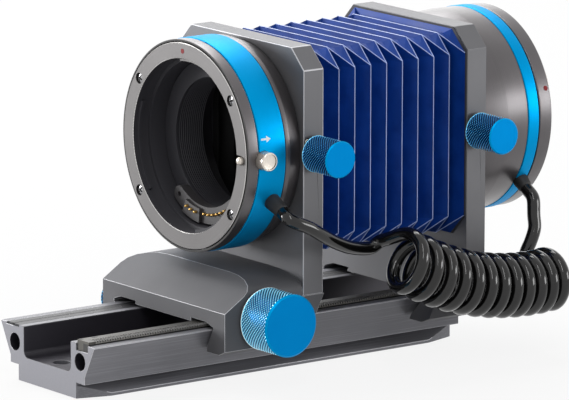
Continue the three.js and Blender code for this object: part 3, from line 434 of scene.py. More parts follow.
def knurl_finish(name, y, z, radius, depth, groove, slope, point):
    """Blue anodising with painted shade between the knurl's points and a painted highlight on them."""
    finish = Finish(name, 0.28, 0.95)
    height = finish.spread(finish.ring_radius(y, z, 1), 0, 1, (radius - depth) * MM, radius * MM)
    high = finish.mix(finish.spread(height, 0, 1, 0.68, 0.9), slope, point)
    finish.colour(finish.spread(height, 0, 1, 0.25, 0.68), groove, high)
    return finish.material


def matt_finish(name, low, high):
    finish = Finish(name, 0.66)
    grain = finish.noise(0.15)
    finish.colour(grain, low, high)
    finish.bump(grain, 0.02, 0.6)
    return finish.material


def plastic_finish(name, low, high, roughness, coat=0.0, specular=0.5):
    finish = Finish(name, roughness, Coat_Weight=coat, Coat_Roughness=0.04, Specular_IOR_Level=specular)
    finish.colour(finish.noise(9, 3), low, high)
    finish.bump(finish.noise(1.4), 0.02, 0.25)
    return finish.material


def fabric_finish():
    """Coated bellows cloth: a fine weave under a soft shine, with slight rubbing."""
    finish = Finish("bellows_cloth", 0.38, Sheen_Weight=0.12, Sheen_Roughness=0.4)
    finish.inputs["Sheen Tint"].default_value = srgb(90, 120, 240)
    finish.inputs["Specular Tint"].default_value = srgb(160, 180, 255)
    waves = []
    for axis in ("X", "Y", "Z"):
        wave = finish.node("ShaderNodeTexWave", bands_direction=axis)
        wave.inputs["Scale"].default_value = 1 / (THREAD * MM) / 20
        finish.feed(wave.inputs["Vector"], finish.place)
        waves.append(wave.outputs["Fac"])
    tone = finish.noise(7, 4)
    finish.colour(finish.spread(tone, 0, 1), (3, 44, 116), (9, 57, 138))
    finish.rough(tone, 0.33, 0.46)
    finish.bump(finish.product(*waves), 0.015, 0.35)
    finish.bump(finish.noise(2.6, 3), 0.05, 0.4)
    return finish.material


def flat_paint(name, low, high, roughness=0.5):
    finish = Finish(name, roughness)
    finish.colour(finish.noise(1.1), low, high)
    return finish.material


# Materials
grey = anodised("grey_anodised_metal", *BODY_GREY).material
carriage_grey = anodised("carriage_metal", (88, 88, 91), (98, 98, 101), 0.56, 0.12, specular=0.22).material
# Painted highlight for the eased edges of the front standard and front carriage; the same finish is the scale's
# printed marks.
edge_highlight_and_mark = anodised("painted_edge_highlight_and_scale_mark", (178, 178, 182), (192, 192, 196), 0.44, 0.35).material
rail_metal = rail_finish()
rail_edge = rail_edge_finish()
plate_metal = plate_finish()
pale = turned("pale_anodised_metal", (94, 92, 92), (107, 105, 105), 0.42, 0.4)
blue = turned("blue_anodised_metal", (0, 140, 200), (0, 150, 210), 0.42, 0.6, specular=0.0)
face_blue = turned("knob_face_metal", (0, 116, 180), (0, 125, 189), 0.36, 0.8, specular=0.0)
black = turned("black_anodised_metal", (74, 71, 73), (92, 88, 90), 0.36, 0.75, coat=0.7)
# Painted shade: a near-black finish laid in gaps, grooves, holes, slots and sockets, where shade falls.
painted_shade = turned("painted_shade_black", (10, 9, 10), (16, 15, 16), 0.6, 0.0)
# Painted highlight for the blue bands' edges away from the lens.
band_highlight = turned("band_edge_painted_highlight", (120, 205, 240), (150, 220, 246), 0.22, 0.8)
# Painted highlight for the mount ring's chamfers and the shell's edge before the band.
chamfer_highlight = turned("chamfer_painted_highlight", (196, 194, 192), (220, 218, 216), 0.25, 0.8)
nickel = turned("nickel_metal", (206, 198, 188), (226, 218, 208), 0.3, 0.75)
screw_metal = anodised("ring_screw_metal", (150, 150, 152), (176, 176, 178), 0.28, 0.85, 0.3).material
steel = anodised("dark_steel_metal", (38, 36, 35), (56, 53, 50), 0.36, 0.8, 0.2).material
rack_metal = anodised("rack_metal", (48, 47, 45), (76, 74, 70), 0.42, 0.5, 0.22).material
# Painted highlight for the rack teeth's tips and the sides of their row.
tooth_highlight = anodised("rack_tooth_painted_highlight", (104, 102, 98), (132, 130, 125), 0.34, 0.6, 0.2).material
scale_metal = anodised("scale_metal", (40, 40, 43), (50, 50, 53), 0.42, 0.4).material
brass = anodised("brass_metal", (150, 116, 58), (176, 140, 74), 0.35, 0.9).material
gold = anodised("gold_metal", (214, 170, 96), (236, 196, 120), 0.24, 0.85, 0.3).material
block_grey = anodised("contact_block_moulding", (54, 52, 54), (66, 64, 66), 0.5, 0.0, 0.2).material
matt_black = matt_finish("matt_black_paint", (40, 40, 45), (54, 53, 59))
slide_plastic = plastic_finish("slide_plastic_moulded", (24, 24, 26), (34, 34, 36), 0.55)
relief_rubber = plastic_finish("relief_rubber_matt", (13, 13, 14), (21, 20, 21), 0.6)
cord_plastic = plastic_finish("cord_plastic_gloss", (8, 8, 8), (15, 14, 14), 0.12, 0.3, 0.35)
cloth = fabric_finish()
# Painted highlight laid on the raised lines along the folds.
crease_highlight = flat_paint("bellows_crease_painted_highlight", (160, 178, 232), (184, 200, 243), 0.35)
lining = flat_paint("bellows_lining", (10, 10, 12), (18, 18, 20), 0.8)
white_paint = flat_paint("white_paint", (226, 230, 232), (240, 243, 244))
red_paint = flat_paint("red_paint", (110, 6, 14), (136, 12, 22), 0.7)


# Camera
CAMERA_ANGLES = (53.17, 11.487, 0.123)
CAMERA_DISTANCE = 1900.35
CAMERA_TARGET = (0, 18.348, 48.706)
PHOTO_WIDTH = 569
FOCAL_PIXELS = 6007.12
SENSOR = 36


def make_camera():
    azimuth, elevation, roll = map(radians, CAMERA_ANGLES)
    level = Vector((cos(azimuth), sin(azimuth), 0))
    back = Vector((sin(azimuth) * cos(elevation), -cos(azimuth) * cos(elevation), sin(elevation)))
    upright = back.cross(level)
    right = level * cos(roll) + upright * sin(roll)
    up = upright * cos(roll) - level * sin(roll)
    data = bpy.data.cameras.new("camera")
    data.sensor_width = SENSOR
    data.lens = FOCAL_PIXELS * SENSOR / PHOTO_WIDTH
    data.clip_end = 20
    camera = add_object("camera", data)
    turn = Matrix((right, up, back)).transposed().to_4x4()
    camera.matrix_world = Matrix.Translation((Vector(CAMERA_TARGET) + back * CAMERA_DISTANCE) * MM) @ turn
    bpy.context.scene.camera = camera


make_camera()


# Cord: a lead from each band and the coil between them
CORD_DIAMETER = 4.3
CORD_STEP = 4.2
COIL_RADIUS = 8.3
COIL_TURNS = 11.58
COIL_START_ANGLE = 119
COIL_START_PITCH = 5.95
COIL_END_PITCH = 4.48
COIL_X = 48
COIL_START = 100.6
COIL_LOW_AT = 152
COIL_LOW_HEIGHT = 22.4
COIL_SAG = 14.5
COIL_START_TILT = 26
COIL_END_TILT = 5
FRONT_EXIT_ANGLE = -24.5
FRONT_EXIT_AT = 63.6
FRONT_LEAD_FROM = 39.9
REAR_EXIT_ANGLE = -37.3
REAR_EXIT_AT = 166.1
REAR_LEAD_FROM = 36.8
FRONT_ROUTE = [(41.2, 69.8, 49.4), (40.6, 75.4, 46.2), (39.2, 81.6, 43), (37.8, 88, 40.4), (36.6, 93.8, 39)]
FRONT_ROUTE += [(36, 98.6, 38.7)]
REAR_ROUTE_TOP = [(33.9, 165.5, 40.6), (35.1, 164.9, 36.6)]
REAR_ROUTE_FOOT = [(35.5, 2.2, 32.8), (35.2, 0.4, 29), (34.8, -0.3, 24.8), (35.1, -0.4, 20.6), (36.6, -0.3, 17)]
CORD_SIDES = 20
TURN_STEPS = 36
SPAN_STEPS = 6
END_PIECE = 31
COIL_CUT = 6.5
CUT_ROOM = 1.5


def station(y):
    """A place along the rail, from its front end."""
    return rail_low.y + y


def coil_axis(turn):
    growth = (COIL_END_PITCH - COIL_START_PITCH) / (2 * COIL_TURNS)
    at = COIL_START + COIL_START_PITCH * turn + growth * turn * turn
    reach = (COIL_LOW_AT - at) / (COIL_LOW_AT - COIL_START)
    return Vector((COIL_X, station(at), COIL_LOW_HEIGHT + COIL_SAG * reach * reach))


def coil_point(turn):
    tilt = radians(COIL_START_TILT + (COIL_END_TILT - COIL_START_TILT) * turn / COIL_TURNS)
    angle = radians(COIL_START_ANGLE) - 2 * pi * turn
    upward = Vector((0, sin(tilt), cos(tilt)))
    return coil_axis(turn) + Vector((COIL_RADIUS * cos(angle), 0, 0)) + upward * (COIL_RADIUS * sin(angle))


def coil_heading(turn):
    step = 0.001
    return (coil_point(turn + step) - coil_point(turn - step)).normalized()


def exit_heading(angle):
    return Vector((cos(radians(angle)), 0, sin(radians(angle))))


def exit_point(angle, at, radius):
    return exit_heading(angle) * radius + Vector((0, station(at), AXIS_Z))


def centripetal(points, steps):
    """A smooth line through the points, by the centripetal Catmull-Rom rule."""
    padded = [points[0] * 2 - points[1], *points, points[-1] * 2 - points[-2]]
    line = []
    for p in zip(padded, padded[1:], padded[2:], padded[3:]):
        knots = [0.0]
        for a, b in zip(p, p[1:]):
            knots.append(knots[-1] + sqrt((b - a).length))

        def between(first, last, a, b):
            return a.lerp(b, (t - knots[first]) / (knots[last] - knots[first]))

        for i in range(steps):
            t = knots[1] + (knots[2] - knots[1]) * i / steps
            a1, a2, a3 = (between(k, k + 1, p[k], p[k + 1]) for k in range(3))
            line.append(between(1, 2, between(0, 2, a1, a2), between(1, 3, a2, a3)))
    line.append(points[-1])
    return line


def lead_line(angle, at, radius, route, end, end_heading):
    """A lead from its band, along its route, to an end of the coil."""
    start = exit_point(angle, at, radius)
    points = [start, start + exit_heading(angle) * CORD_STEP, *route, end - end_heading * CORD_STEP, end]
    return centripetal(points, SPAN_STEPS)


def cord_line():
    """The cord's whole centreline, and the index where its coil is cut in two."""
    first_way, last_way = coil_heading(0), coil_heading(COIL_TURNS)
    route = [Vector((x, station(y), z)) for x, y, z in FRONT_ROUTE]
    start = coil_point(0) - first_way * CORD_STEP
    front = lead_line(FRONT_EXIT_ANGLE, FRONT_EXIT_AT, FRONT_LEAD_FROM, route, start, first_way)
    turns = round(COIL_TURNS * TURN_STEPS)
    coil = [coil_point(COIL_TURNS * i / turns) for i in range(turns + 1)]
    route = [Vector((x, station(y), z)) for x, y, z in REAR_ROUTE_TOP]
    route += [Vector((x, coil_axis(COIL_TURNS).y + y, z)) for x, y, z in REAR_ROUTE_FOOT]
    end = coil_point(COIL_TURNS) + last_way * CORD_STEP
    rear = lead_line(REAR_EXIT_ANGLE, REAR_EXIT_AT, REAR_LEAD_FROM, route, end, -last_way)
    return front + coil + rear[::-1], len(front) + round(COIL_CUT * TURN_STEPS)


def line_length(line):
    return sum((b - a).length for a, b in zip(line, line[1:]))


def index_at(line, length):
    """The first point at least this far along a line."""
    return next(i for i in range(1, len(line)) if line_length(line[: i + 1]) >= length)


def tube_rings(line, radius, sides):
    """Rings of points round a line, turned as little as possible from one to the next."""
    rings = []
    heading = (line[1] - line[0]).normalized()
    side = heading.orthogonal().normalized()
    for i, point in enumerate(line):
        ahead = (line[min(i + 1, len(line) - 1)] - line[max(i - 1, 0)]).normalized()
        side = heading.rotation_difference(ahead) @ side
        heading = ahead
        side = (side - heading * side.dot(heading)).normalized()
        other = heading.cross(side)
        rings.append([point + (side * cos(a) + other * sin(a)) * radius for a in even_angles(sides)])
    return rings


def tube_from(rings):
    verts = [point for ring in rings for point in ring]
    sides = len(rings[0])
    faces = [tuple(range(sides)), tuple(range(len(verts) - sides, len(verts)))]
    for i in range(len(rings) - 1):
        for j in range(sides):
            a, b = i * sides + j, i * sides + (j + 1) % sides
            faces.append((a, b, b + sides, a + sides))
    return verts, faces


def make_cord():
    """The cord in four stretches."""
    line, middle_cut = cord_line()
    rings = tube_rings(line, CORD_DIAMETER / 2, CORD_SIDES)
    last = len(line) - 1
    cuts = [0, index_at(line, END_PIECE), middle_cut, last - index_at(line[::-1], END_PIECE), last]
    coil_spans = (
        (line[cuts[1]].y + CORD_DIAMETER / 2, line[middle_cut].y - CUT_ROOM),
        (line[middle_cut].y + CUT_ROOM, coil_axis(COIL_TURNS).y - CUT_ROOM),
    )
    spans = [[Vector((0, y, 0)) for y in span] for span in coil_spans]
    spans = [(line[0], line[cuts[1]]), *spans, (line[cuts[3]], line[last])]
    names = ("cord_front_end", "cord_coil_front", "cord_coil_rear", "cord_rear_end")
    lays = ("hanging", "coiled", "coiled", "hanging")
    nodes = ("cord_front_lead", "coiled_cord", "coiled_cord", "cord_rear_lead")
    for i, (name, lay, node, (start, end)) in enumerate(zip(names, lays, nodes, spans)):
        verts, faces = tube_from(rings[cuts[i] : cuts[i + 1] + 1])
        piece = link_mesh(name, verts, faces, [cord_plastic], smooth_angle=60)
        path = [point * MM for point in line[cuts[i] : cuts[i + 1] + 1]]
        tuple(path[0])
        line_length(path)
        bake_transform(piece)
        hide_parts(node)


make_cord()


# Bellows: pleats whose sides and tops fold in turn, in pieces of one pleat or half pleat
PLEATS = 9
FRONT_PLEATS = 6
RIDGE_CUT = 6.2
PLEAT_DEPTH = 5
VALLEY_RUN = 0.68
PLATE_GAP = 0.3
END_FLARE = 3
END_INSET = 0.9
END_CUT = 6.8
END_VALLEY_DEPTH = 3.4
END_VALLEY_SHARE = 0.4
CORNER_TUCK = 0.8
SIDE_CREASE = (0.13, 0.13)
TOP_CREASE = (0.14, 0.16)
CLOTH_THICKNESS = 0.35
FRAME_INSET = 0.3
FRAME_BORDER = 6
FRAME_CUT = 6.6
WINDOW_CUT = 4
RIDGE_HALF = bellows_high.x - END_FLARE
FLATS = ((0, 1), (2, 3), (4, 5), (6, 7))
CORNERS = ((1, 2), (4, 3), (5, 6), (0, 7))


def eight_points(y, side, foot, head, flat, low, high):
    """A loop with its sides from foot to head and its flats at low and high, from the right foot upwards."""
    right = [(side, foot), (side, head), (flat, high)]
    left = [(-flat, high), (-side, head), (-side, foot), (-flat, low)]
    return [Vector((x, y, z)) for x, z in (*right, *left, (flat, low))]


def ridge_loop(y, half, cut, high=bellows_high.z):
    low = bellows_low.z
    return eight_points(y, half, low + cut, high - cut, half - cut, low, high)


def towards_middle(point):
    return Vector((-point.x, 0, BELLOWS_Z - point.z)).normalized()


def valley_loop(y, before, after, share, depth):
    """The eight ends of a valley's four folds, then the folds that cross each corner and the tucks beside them."""
    low, high = bellows_low.z, bellows_high.z
    flat = RIDGE_HALF - RIDGE_CUT - depth * VALLEY_RUN
    side = RIDGE_HALF - depth
    folds = eight_points(y, side, low + RIDGE_CUT, high - RIDGE_CUT, flat, low + depth, high - depth)
    crossing = [before[top].lerp(after[side], share) for side, top in CORNERS]
    tucked = [before[top].lerp(after[top], share) for side, top in CORNERS]
    tucked = [point + towards_middle(point) * CORNER_TUCK for point in tucked]
    for point in crossing + tucked:
        point.y = y
    return folds + crossing + tucked


def first_half(ridge, valley):
    """Faces from a ridge to the valley behind it, given where the points of each start."""
    faces = [(ridge + a, ridge + b, valley + b, valley + a) for a, b in FLATS]
    for corner, (side, top) in enumerate(CORNERS):
        crossing, tucked = valley + 8 + corner, valley + 12 + corner
        faces.append((ridge + side, ridge + top, valley + side))
        faces.append((ridge + top, crossing, valley + side))
        faces.append((ridge + top, tucked, crossing))
        faces.append((ridge + top, valley + top, tucked))
    return faces


def second_half(valley, ridge):
    """Faces from a valley to the ridge behind it."""
    faces = [(valley + a, valley + b, ridge + b, ridge + a) for a, b in FLATS]
    for corner, (side, top) in enumerate(CORNERS):
        crossing, tucked = valley + 8 + corner, valley + 12 + corner
        faces.append((valley + side, crossing, ridge + side))
        faces.append((crossing, tucked, ridge + top, ridge + side))
        faces.append((tucked, valley + top, ridge + top))
    return faces


def crease_rod(a, b, half, out):
    """A thin raised line along a fold, standing out from the cloth."""
    along = (b - a).normalized()
    away = -towards_middle((a + b) / 2)
    away = (away - along * away.dot(along)).normalized()
    across = along.cross(away).normalized()
    corners = []
    for end in (a, b):
        for u, v in ((-1, 0), (1, 0), (0.6, 1), (-0.6, 1)):
            corners.append(end + across * (half * u) + away * (out * v))
    faces = [(0, 1, 2, 3), (4, 5, 6, 7)] + [(k, (k + 1) % 4, (k + 1) % 4 + 4, k + 4) for k in range(4)]
    return corners, faces


def ridge_creases(loop):
    """The raised lines round one ridge, finer down the sides."""
    sizes = [SIDE_CREASE if k in (0, 4) else TOP_CREASE for k in range(8)]
    return [crease_rod(loop[k], loop[(k + 1) % 8], *sizes[k]) for k in range(8)]


def crossing_creases(loop, valley, ends):
    """The raised lines that cross the corners, from a ridge to the valley beside it."""
    return [crease_rod(loop[pair[ends]], valley[8 + c], *TOP_CREASE) for c, pair in enumerate(CORNERS)]


def bellows_folds():
    """Every fold from the front plate to the rear frame, as its place, its points and whether it is a ridge."""
    first, at = front_plate_high.y + PLATE_GAP, rear_plate_low.y - PLATE_GAP
    pitch = (at - first) / (2 * PLEATS)
    plain = ridge_loop(0, RIDGE_HALF, RIDGE_CUT)
    end = ridge_loop(at, rear_plate_high.x - END_INSET, END_CUT, rear_plate_high.z - END_INSET)
    folds = []
    for i in range(2 * PLEATS):
        y = first + pitch * i
        loop = ridge_loop(y, RIDGE_HALF, RIDGE_CUT) if i % 2 else valley_loop(y, plain, plain, 0.5, PLEAT_DEPTH)
        folds.append((y, loop, i % 2 == 1))
    y += (at - y) * END_VALLEY_SHARE
    folds.append((y, valley_loop(y, plain, end, END_VALLEY_SHARE, END_VALLEY_DEPTH), False))
    folds.append((at, end, True))
    return folds


def inverse_smoothstep(weight):
    return 0.5 - sin(asin(1 - 2 * weight) / 3)


def bellows_weights(places):
    """How far each place has left the first body, even between short ramps at both ends."""
    ramp = places[1] - places[0]
    slope = 1 / (places[-1] - places[0] - ramp)
    return [0] + [0.5 * slope * ramp + slope * (y - places[1]) for y in places[1:-1]] + [1]


def bellows_surface(folds):
    """Points, faces and raised lines of a run of folds."""
    verts, faces, rods = [], [], []
    for i, (_, points, is_ridge) in enumerate(folds):
        here = len(verts)
        verts += points
        if i + 1 == len(folds):
            break
        there, beyond = len(verts), folds[i + 1][1]
        if is_ridge:
            faces += first_half(here, there)
            rods += ridge_creases(points) + crossing_creases(points, beyond, 1)
        else:
            faces += second_half(here, there)
            rods += crossing_creases(beyond, points, 0)
    return verts, faces, rods


def make_bellows_piece(name, folds, weights, near, far):
    """A pleat or half pleat."""
    verts, faces, rods = bellows_surface(folds)
    inner = [point + towards_middle(point) * CLOTH_THICKNESS for point in verts]
    all_verts, all_faces = joined([(verts, faces), (inner, faces), *rods])
    # The raised lines along the folds take the painted highlight.
    indices = [0] * len(faces) + [1] * len(faces) + [2] * (len(all_faces) - 2 * len(faces))
    piece = plain_mesh(name, all_verts, all_faces, (cloth, lining, crease_highlight), indices)
    first, last = map(inverse_smoothstep, weights)
    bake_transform(piece)
    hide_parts("bellows")


def make_bellows():
    folds = bellows_folds()
    split, last = 2 * FRONT_PLEATS, len(folds) - 1
    sections = (
        ("bellows_front", [0, *range(1, split, 2), split], "front_unit", "rail"),
        ("bellows_rear", [split, *range(split + 1, last - 1, 2), last], "rail", "rear_unit"),
    )
    for prefix, cuts, near, far in sections:
        weights = bellows_weights([folds[i][0] for i in cuts])
        for k, (a, b) in enumerate(zip(cuts, cuts[1:])):
            make_bellows_piece(f"{prefix}_{k + 1}", folds[a : b + 1], weights[k : k + 2], near, far)


def loop_frame(outer, inner, start, end):
    """A flat frame between two loops of eight points."""
    verts, faces = [], []
    for loop, y in ((outer, start), (outer, end), (inner, end), (inner, start)):
        verts += [Vector((point.x, y, point.z)) for point in loop]
    for row in range(4):
        a, b = row * 8, (row + 1) % 4 * 8
        for k in range(8):
            m = (k + 1) % 8
            faces.append((a + k, a + m, b + m, b + k))
    return verts, faces


def make_rear_frame():
    """The black plate that holds the cloth against the rear standard, behind the flared last fold."""
    half, high = rear_plate_high.x - FRAME_INSET, rear_plate_high.z - FRAME_INSET
    inner = ridge_loop(0, half - FRAME_BORDER, WINDOW_CUT, high - FRAME_BORDER)
    for point in inner:
        if point.z < BELLOWS_Z:
            point.z += FRAME_BORDER
    start, end = rear_plate_low.y - PLATE_GAP + 0.03, rear_plate_low.y - 0.05
    verts, faces = loop_frame(ridge_loop(0, half, FRAME_CUT, high), inner, start, end)
    piece = link_mesh("rear_cloth_frame", verts, faces, [matt_black])
    stands_for(piece, "rear_unit", "matt_black", "rear_bellows_frame")


def make_front_collar():
    """The lining's flat rim, which closes the front frame's window round the first fold."""
    y = front_plate_high.y + PLATE_GAP
    plain = ridge_loop(0, RIDGE_HALF, RIDGE_CUT)
    outer = [point + towards_middle(point) for point in plain]
    inner = valley_loop(0, plain, plain, 0.5, PLEAT_DEPTH + 0.3)[:8]
    verts, faces = loop_frame(outer, inner, y, y + 0.2)
    stands_for(link_mesh("front_cloth_collar", verts, faces, [lining]), "front_unit", "pleated_fabric")


make_bellows()
make_rear_frame()
make_front_collar()


# CAD nodes that stay in the scene under their own finish
def dress(node, material, bevel_mm, edge=None):
    """Gives a CAD node its finish and eases its edges, which may have a finish of their own."""
    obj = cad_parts[node]
    mesh = obj.data
    mesh.materials.clear()
    for each in (material, edge) if edge else (material,):
        mesh.materials.append(each)
    for attribute in ("custom_normal", "sharp_face"):
        if attribute in mesh.attributes:
            mesh.attributes.remove(mesh.attributes[attribute])
    obj.modifiers.new("weld", "WELD").merge_threshold = 0.002 * MM
    if bevel_mm:
        bevel = obj.modifiers.new("bevel", "BEVEL")
        bevel.width = bevel_mm * MM
        bevel.segments = 2
        bevel.limit_method = "ANGLE"
        bevel.angle_limit = radians(SMOOTH_ANGLE)
        bevel.harden_normals = True
        if edge:
            bevel.material = 1


# The third entry, where given, is the eased edges' finish: a painted highlight on the front standard's and front
# carriage's edges and on the rail's outer ones.
CARRIED = {
    "rail": (rail_metal, 0.3, rail_edge),
    "front_standard": (plate_metal, 0.25, edge_highlight_and_mark),
    "rear_standard": (grey, 0.25),
    "front_carriage": (carriage_grey, 0.25, edge_highlight_and_mark),
    "rear_carriage": (carriage_grey, 0.25),
    "scale_strip": (scale_metal, 0.08),
    "pinion_shaft": (steel, 0),
    "pinion_bush": (brass, 0.1),
    "front_bellows_frame": (matt_black, 0.1),
    "lens_contact_block": (block_grey, 0.2),
    "camera_contact_block": (matt_black, 0.15),
}
for end in ("front", "rear"):
    CARRIED[f"{end}_gib"] = (brass, 0.05)
    for part in ("guide_strip", "slide_pad_right", "slide_pad_left"):
        CARRIED[f"{end}_{part}"] = (slide_plastic, 0.05)
    for part in ("clamp_screw", "lock_screw"):
        CARRIED[f"{end}_{part}"] = (steel, 0.1)
for node, look in CARRIED.items():
    dress(node, *look)


# Lens adapter
SHELL_RADIUS = 33.5
MOUNT_OUTER = 32.5
THROAT = 27.5
SHELL_BORE = 26.5
SPIGOT_IN = 4.4
SPIGOT_WALL = 2.7
LUG_RADIUS = 26.5
LUG_SETBACK = 1.6
LUG_ENDS = (99.5, 219.5, 339.5)
LUG_SPAN = 62
MOUNT_FACE = mount_low.y
MOUNT_SEAT = mount_high.y
BAND_AT = band_low.y
BAND_END = band_high.y
BAND_RADIUS = band_high.x
OPTICAL = about_y(0, AXIS_Z)
SEAM = 0.26
EDGE = 0.24
RING_EDGE = 0.15
BUTTON_GAP = 0.14
BUTTON_BEYOND = 1.1
BUTTON_RIM = 0.55
BUTTON_SUNK = 0.35
SCREW_RECESS = 1.75
SCREW_RADIUS = 1.62
SCREW_SUNK = 0.7
SCREW_DOME = 0.4
CROSS_HALF = 0.24
CROSS_REACH = 1.05
CROSS_DEPTH = 0.5
SET_SCREW_AT = (75.5, 74.3)
BAFFLE_RADIUS = 20.4
BAFFLE_RIBS = 13
CONTACTS = [f"lens_contact_{i}" for i in range(1, 10)]
RING_SCREWS = [f"ring_screw_{i}" for i in range(1, 5)]


def angles_with(count, specials, gap=0.02):
    """Even angles with extra ones at both sides of each special angle, given in degrees."""
    angles = [360 * i / count for i in range(count)]
    for special in specials:
        angles = [a for a in angles if abs((a - special + 180) % 360 - 180) > 0.3]
        angles += [(special - gap) % 360, (special + gap) % 360]
    return [radians(a) for a in sorted(angles)]


def in_lug(angle, ends, span):
    return any((end - degrees(angle) % 360) % 360 < span for end in ends)


def lug_angles(ends, span):
    return angles_with(180, [e % 360 for e in ends] + [(e - span) % 360 for e in ends])


def round_along_x(node):
    """Where a round CAD node lies along X, its radius and the y and z of its axis."""
    low, high = box_mm(node)
    return low.x, high.x, (high.z - low.z) / 2, (middle(low, high, 1), middle(low, high, 2))


def round_along_y(node):
    """Where a round CAD node lies along Y, its radius and the x and z of its axis."""
    low, high = box_mm(node)
    return low.y, high.y, (high.x - low.x) / 2, (middle(low, high, 0), middle(low, high, 2))


def button_cutter():
    _, _, radius, axis = round_along_x("release_button")
    return disc_cutter(about_x(*axis), radius + BUTTON_GAP, SHELL_RADIUS - 3, SHELL_RADIUS + 2)


# Painted shade in the gaps by the mount ring and the band, and a painted highlight on the shell's edge before the
# band; the bore is matt black.
def paint_shell(radius, along):
    if radius < THROAT + 0.5:
        return 2
    if BAND_AT - SEAM - EDGE + 0.01 < along < BAND_AT - SEAM - 0.01 and radius > SHELL_RADIUS - EDGE:
        return 3
    return 1 if radius < SHELL_RADIUS - 0.1 and (along > BAND_AT - 0.5 or along < MOUNT_FACE + 0.4) else 0


def make_shell():
    side, front, seat = SHELL_RADIUS, MOUNT_FACE + 0.34, MOUNT_SEAT + 0.05
    profile = [
        *((MOUNT_OUTER + 0.3, front), (side - 0.12, front), (side, front + 0.12)),
        *((side, BAND_AT - SEAM - EDGE), (side - 0.12, BAND_AT - SEAM), (side - 0.6, BAND_AT - SEAM)),
        *((side - 0.6, BAND_END + 0.05), (SHELL_BORE, BAND_END + 0.05), (SHELL_BORE, MOUNT_SEAT + 3.2)),
        *((THROAT + 0.1, MOUNT_SEAT + 3.2), (THROAT + 0.1, seat), (MOUNT_OUTER + 0.3, seat)),
    ]
    materials = [black, painted_shade, matt_black, chamfer_highlight]
    piece = lathe("adapter_shell", profile, OPTICAL, materials, round_to=0.05, paint=paint_shell)
    carve(piece, [button_cutter()])
    stands_for(piece, "lens_adapter", "black_anodised", "front_adapter_shell")


def make_band(name, seat, outer, start, end):
    """A blue band with eased edges and a painted highlight on the edge away from the lens."""
    profile = [(seat, start), (outer - EDGE, start), (outer, start + EDGE)]
    profile += [(outer, end - EDGE), (outer - EDGE, end), (seat, end)]

    # Painted highlight on the eased edge away from the lens.
    def paint(radius, along):
        return 1 if outer - EDGE * 0.95 < radius < outer - EDGE * 0.05 and along > end - EDGE else 0

    return lathe(name, profile, OPTICAL, [blue, band_highlight], round_to=0.02, paint=paint)


def make_front_band():
    piece = make_band("adapter_band", SHELL_RADIUS - 0.5, BAND_RADIUS, BAND_AT, BAND_END)
    carve(piece, [button_cutter()])
    stands_for(piece, "lens_adapter", "blue_anodised", "front_band")


def make_adapter_back():
    spigot = front_plate_high.x - SPIGOT_IN
    plate = front_plate_low.y - 0.3
    step, side, end = SHELL_RADIUS - 0.6, SHELL_RADIUS - 0.1, box_mm("front_adapter_back")[1].y
    profile = [
        *((spigot - SPIGOT_WALL, BAND_END + 0.1), (step, BAND_END + 0.1), (step, BAND_END + SEAM)),
        *((side, BAND_END + SEAM), (side, BAND_END + 1.8), (SHELL_RADIUS - 1.9, plate)),
        *((spigot, plate), (spigot, end), (spigot - SPIGOT_WALL, end)),
    ]

    # Painted shade in the groove behind the band; the bore is matt black.
    def paint(radius, along):
        if radius < spigot - 1:
            return 2
        return 1 if along < BAND_END + SEAM - 0.02 else 0

    piece = lathe("adapter_back", profile, OPTICAL, [black, painted_shade, matt_black], round_to=0.06, paint=paint)
    stands_for(piece, "lens_adapter", "black_anodised", "front_adapter_back")


def ring_cutters():
    """The screws' recesses, and the lock pin's hole with the slot from it to the throat."""
    start, end = MOUNT_FACE - 1, MOUNT_SEAT + 1
    cutters = []
    for node in RING_SCREWS:
        *_, axis = round_along_y(node)
        cutters.append(disc_cutter(about_y(*axis), SCREW_RECESS, start, MOUNT_FACE + 1))
    _, _, radius, (x, z) = round_along_y("lens_lock_pin")
    half = radius + 0.25
    cutters.append(disc_cutter(about_y(x, z), half, start, end))
    slot = box_faces((LUG_RADIUS - 1, x), (start, end), (z - half, z + half))
    # The slot's walls, like the recesses and the hole, take the near-black painted shade.
    return [*cutters, link_mesh("cutter", *slot, [painted_shade])]


def make_mount_ring():
    face, seat = MOUNT_FACE, MOUNT_SEAT

    def profile_at(angle):
        inner = LUG_RADIUS if in_lug(angle, LUG_ENDS, LUG_SPAN) else THROAT
        return [
            *((THROAT, face + 0.12), (THROAT + 0.12, face), (MOUNT_OUTER - RING_EDGE, face)),
            *((MOUNT_OUTER, face + RING_EDGE), (MOUNT_OUTER, seat), (inner, seat)),
            *((inner, face + LUG_SETBACK), (THROAT, face + LUG_SETBACK)),
        ]

    angles = lug_angles(LUG_ENDS, LUG_SPAN)
    first_end = radians(LUG_ENDS[0])
    indices = []
    for angle in angles:
        first_lug = first_end - radians(LUG_SPAN) <= angle <= first_end
        # Painted highlight on the chamfers, painted shade on the outer wall in the gap to the shell, and matt
        # black as painted shade on the front faces of all lugs but the first.
        indices += [1, 0, 1, 3, 0, 2, 0 if first_lug else 2, 2]
    verts, faces = swept(profile_at, angles, OPTICAL)
    piece = link_mesh("mount_ring", verts, faces, [pale, chamfer_highlight, matt_black, painted_shade], indices)
    carve(piece, ring_cutters())
    stands_for(piece, "lens_adapter", "pale_anodised", "lens_mount_ring")


def make_baffle():
    low, high = box_mm("light_baffle")
    start, end, radius = low.y, high.y, BAFFLE_RADIUS
    profile = [(SHELL_BORE - 0.3, start), (SHELL_BORE - 0.3, start + 2)]
    profile += [(radius + 1.6, start + 2), (radius + 1.6, end), (radius, end)]
    pitch = (end - start - 0.8) / BAFFLE_RIBS
    for i in reversed(range(BAFFLE_RIBS)):
        at = start + 0.8 + pitch * i
        profile += [(radius + 0.16, at + pitch * 0.75), (radius, at)]
    profile.append((radius, start))
    piece = lathe("ribbed_baffle", profile, OPTICAL, [matt_black], round_to=0.08)
    stands_for(piece, "lens_adapter", "matt_black", "light_baffle")


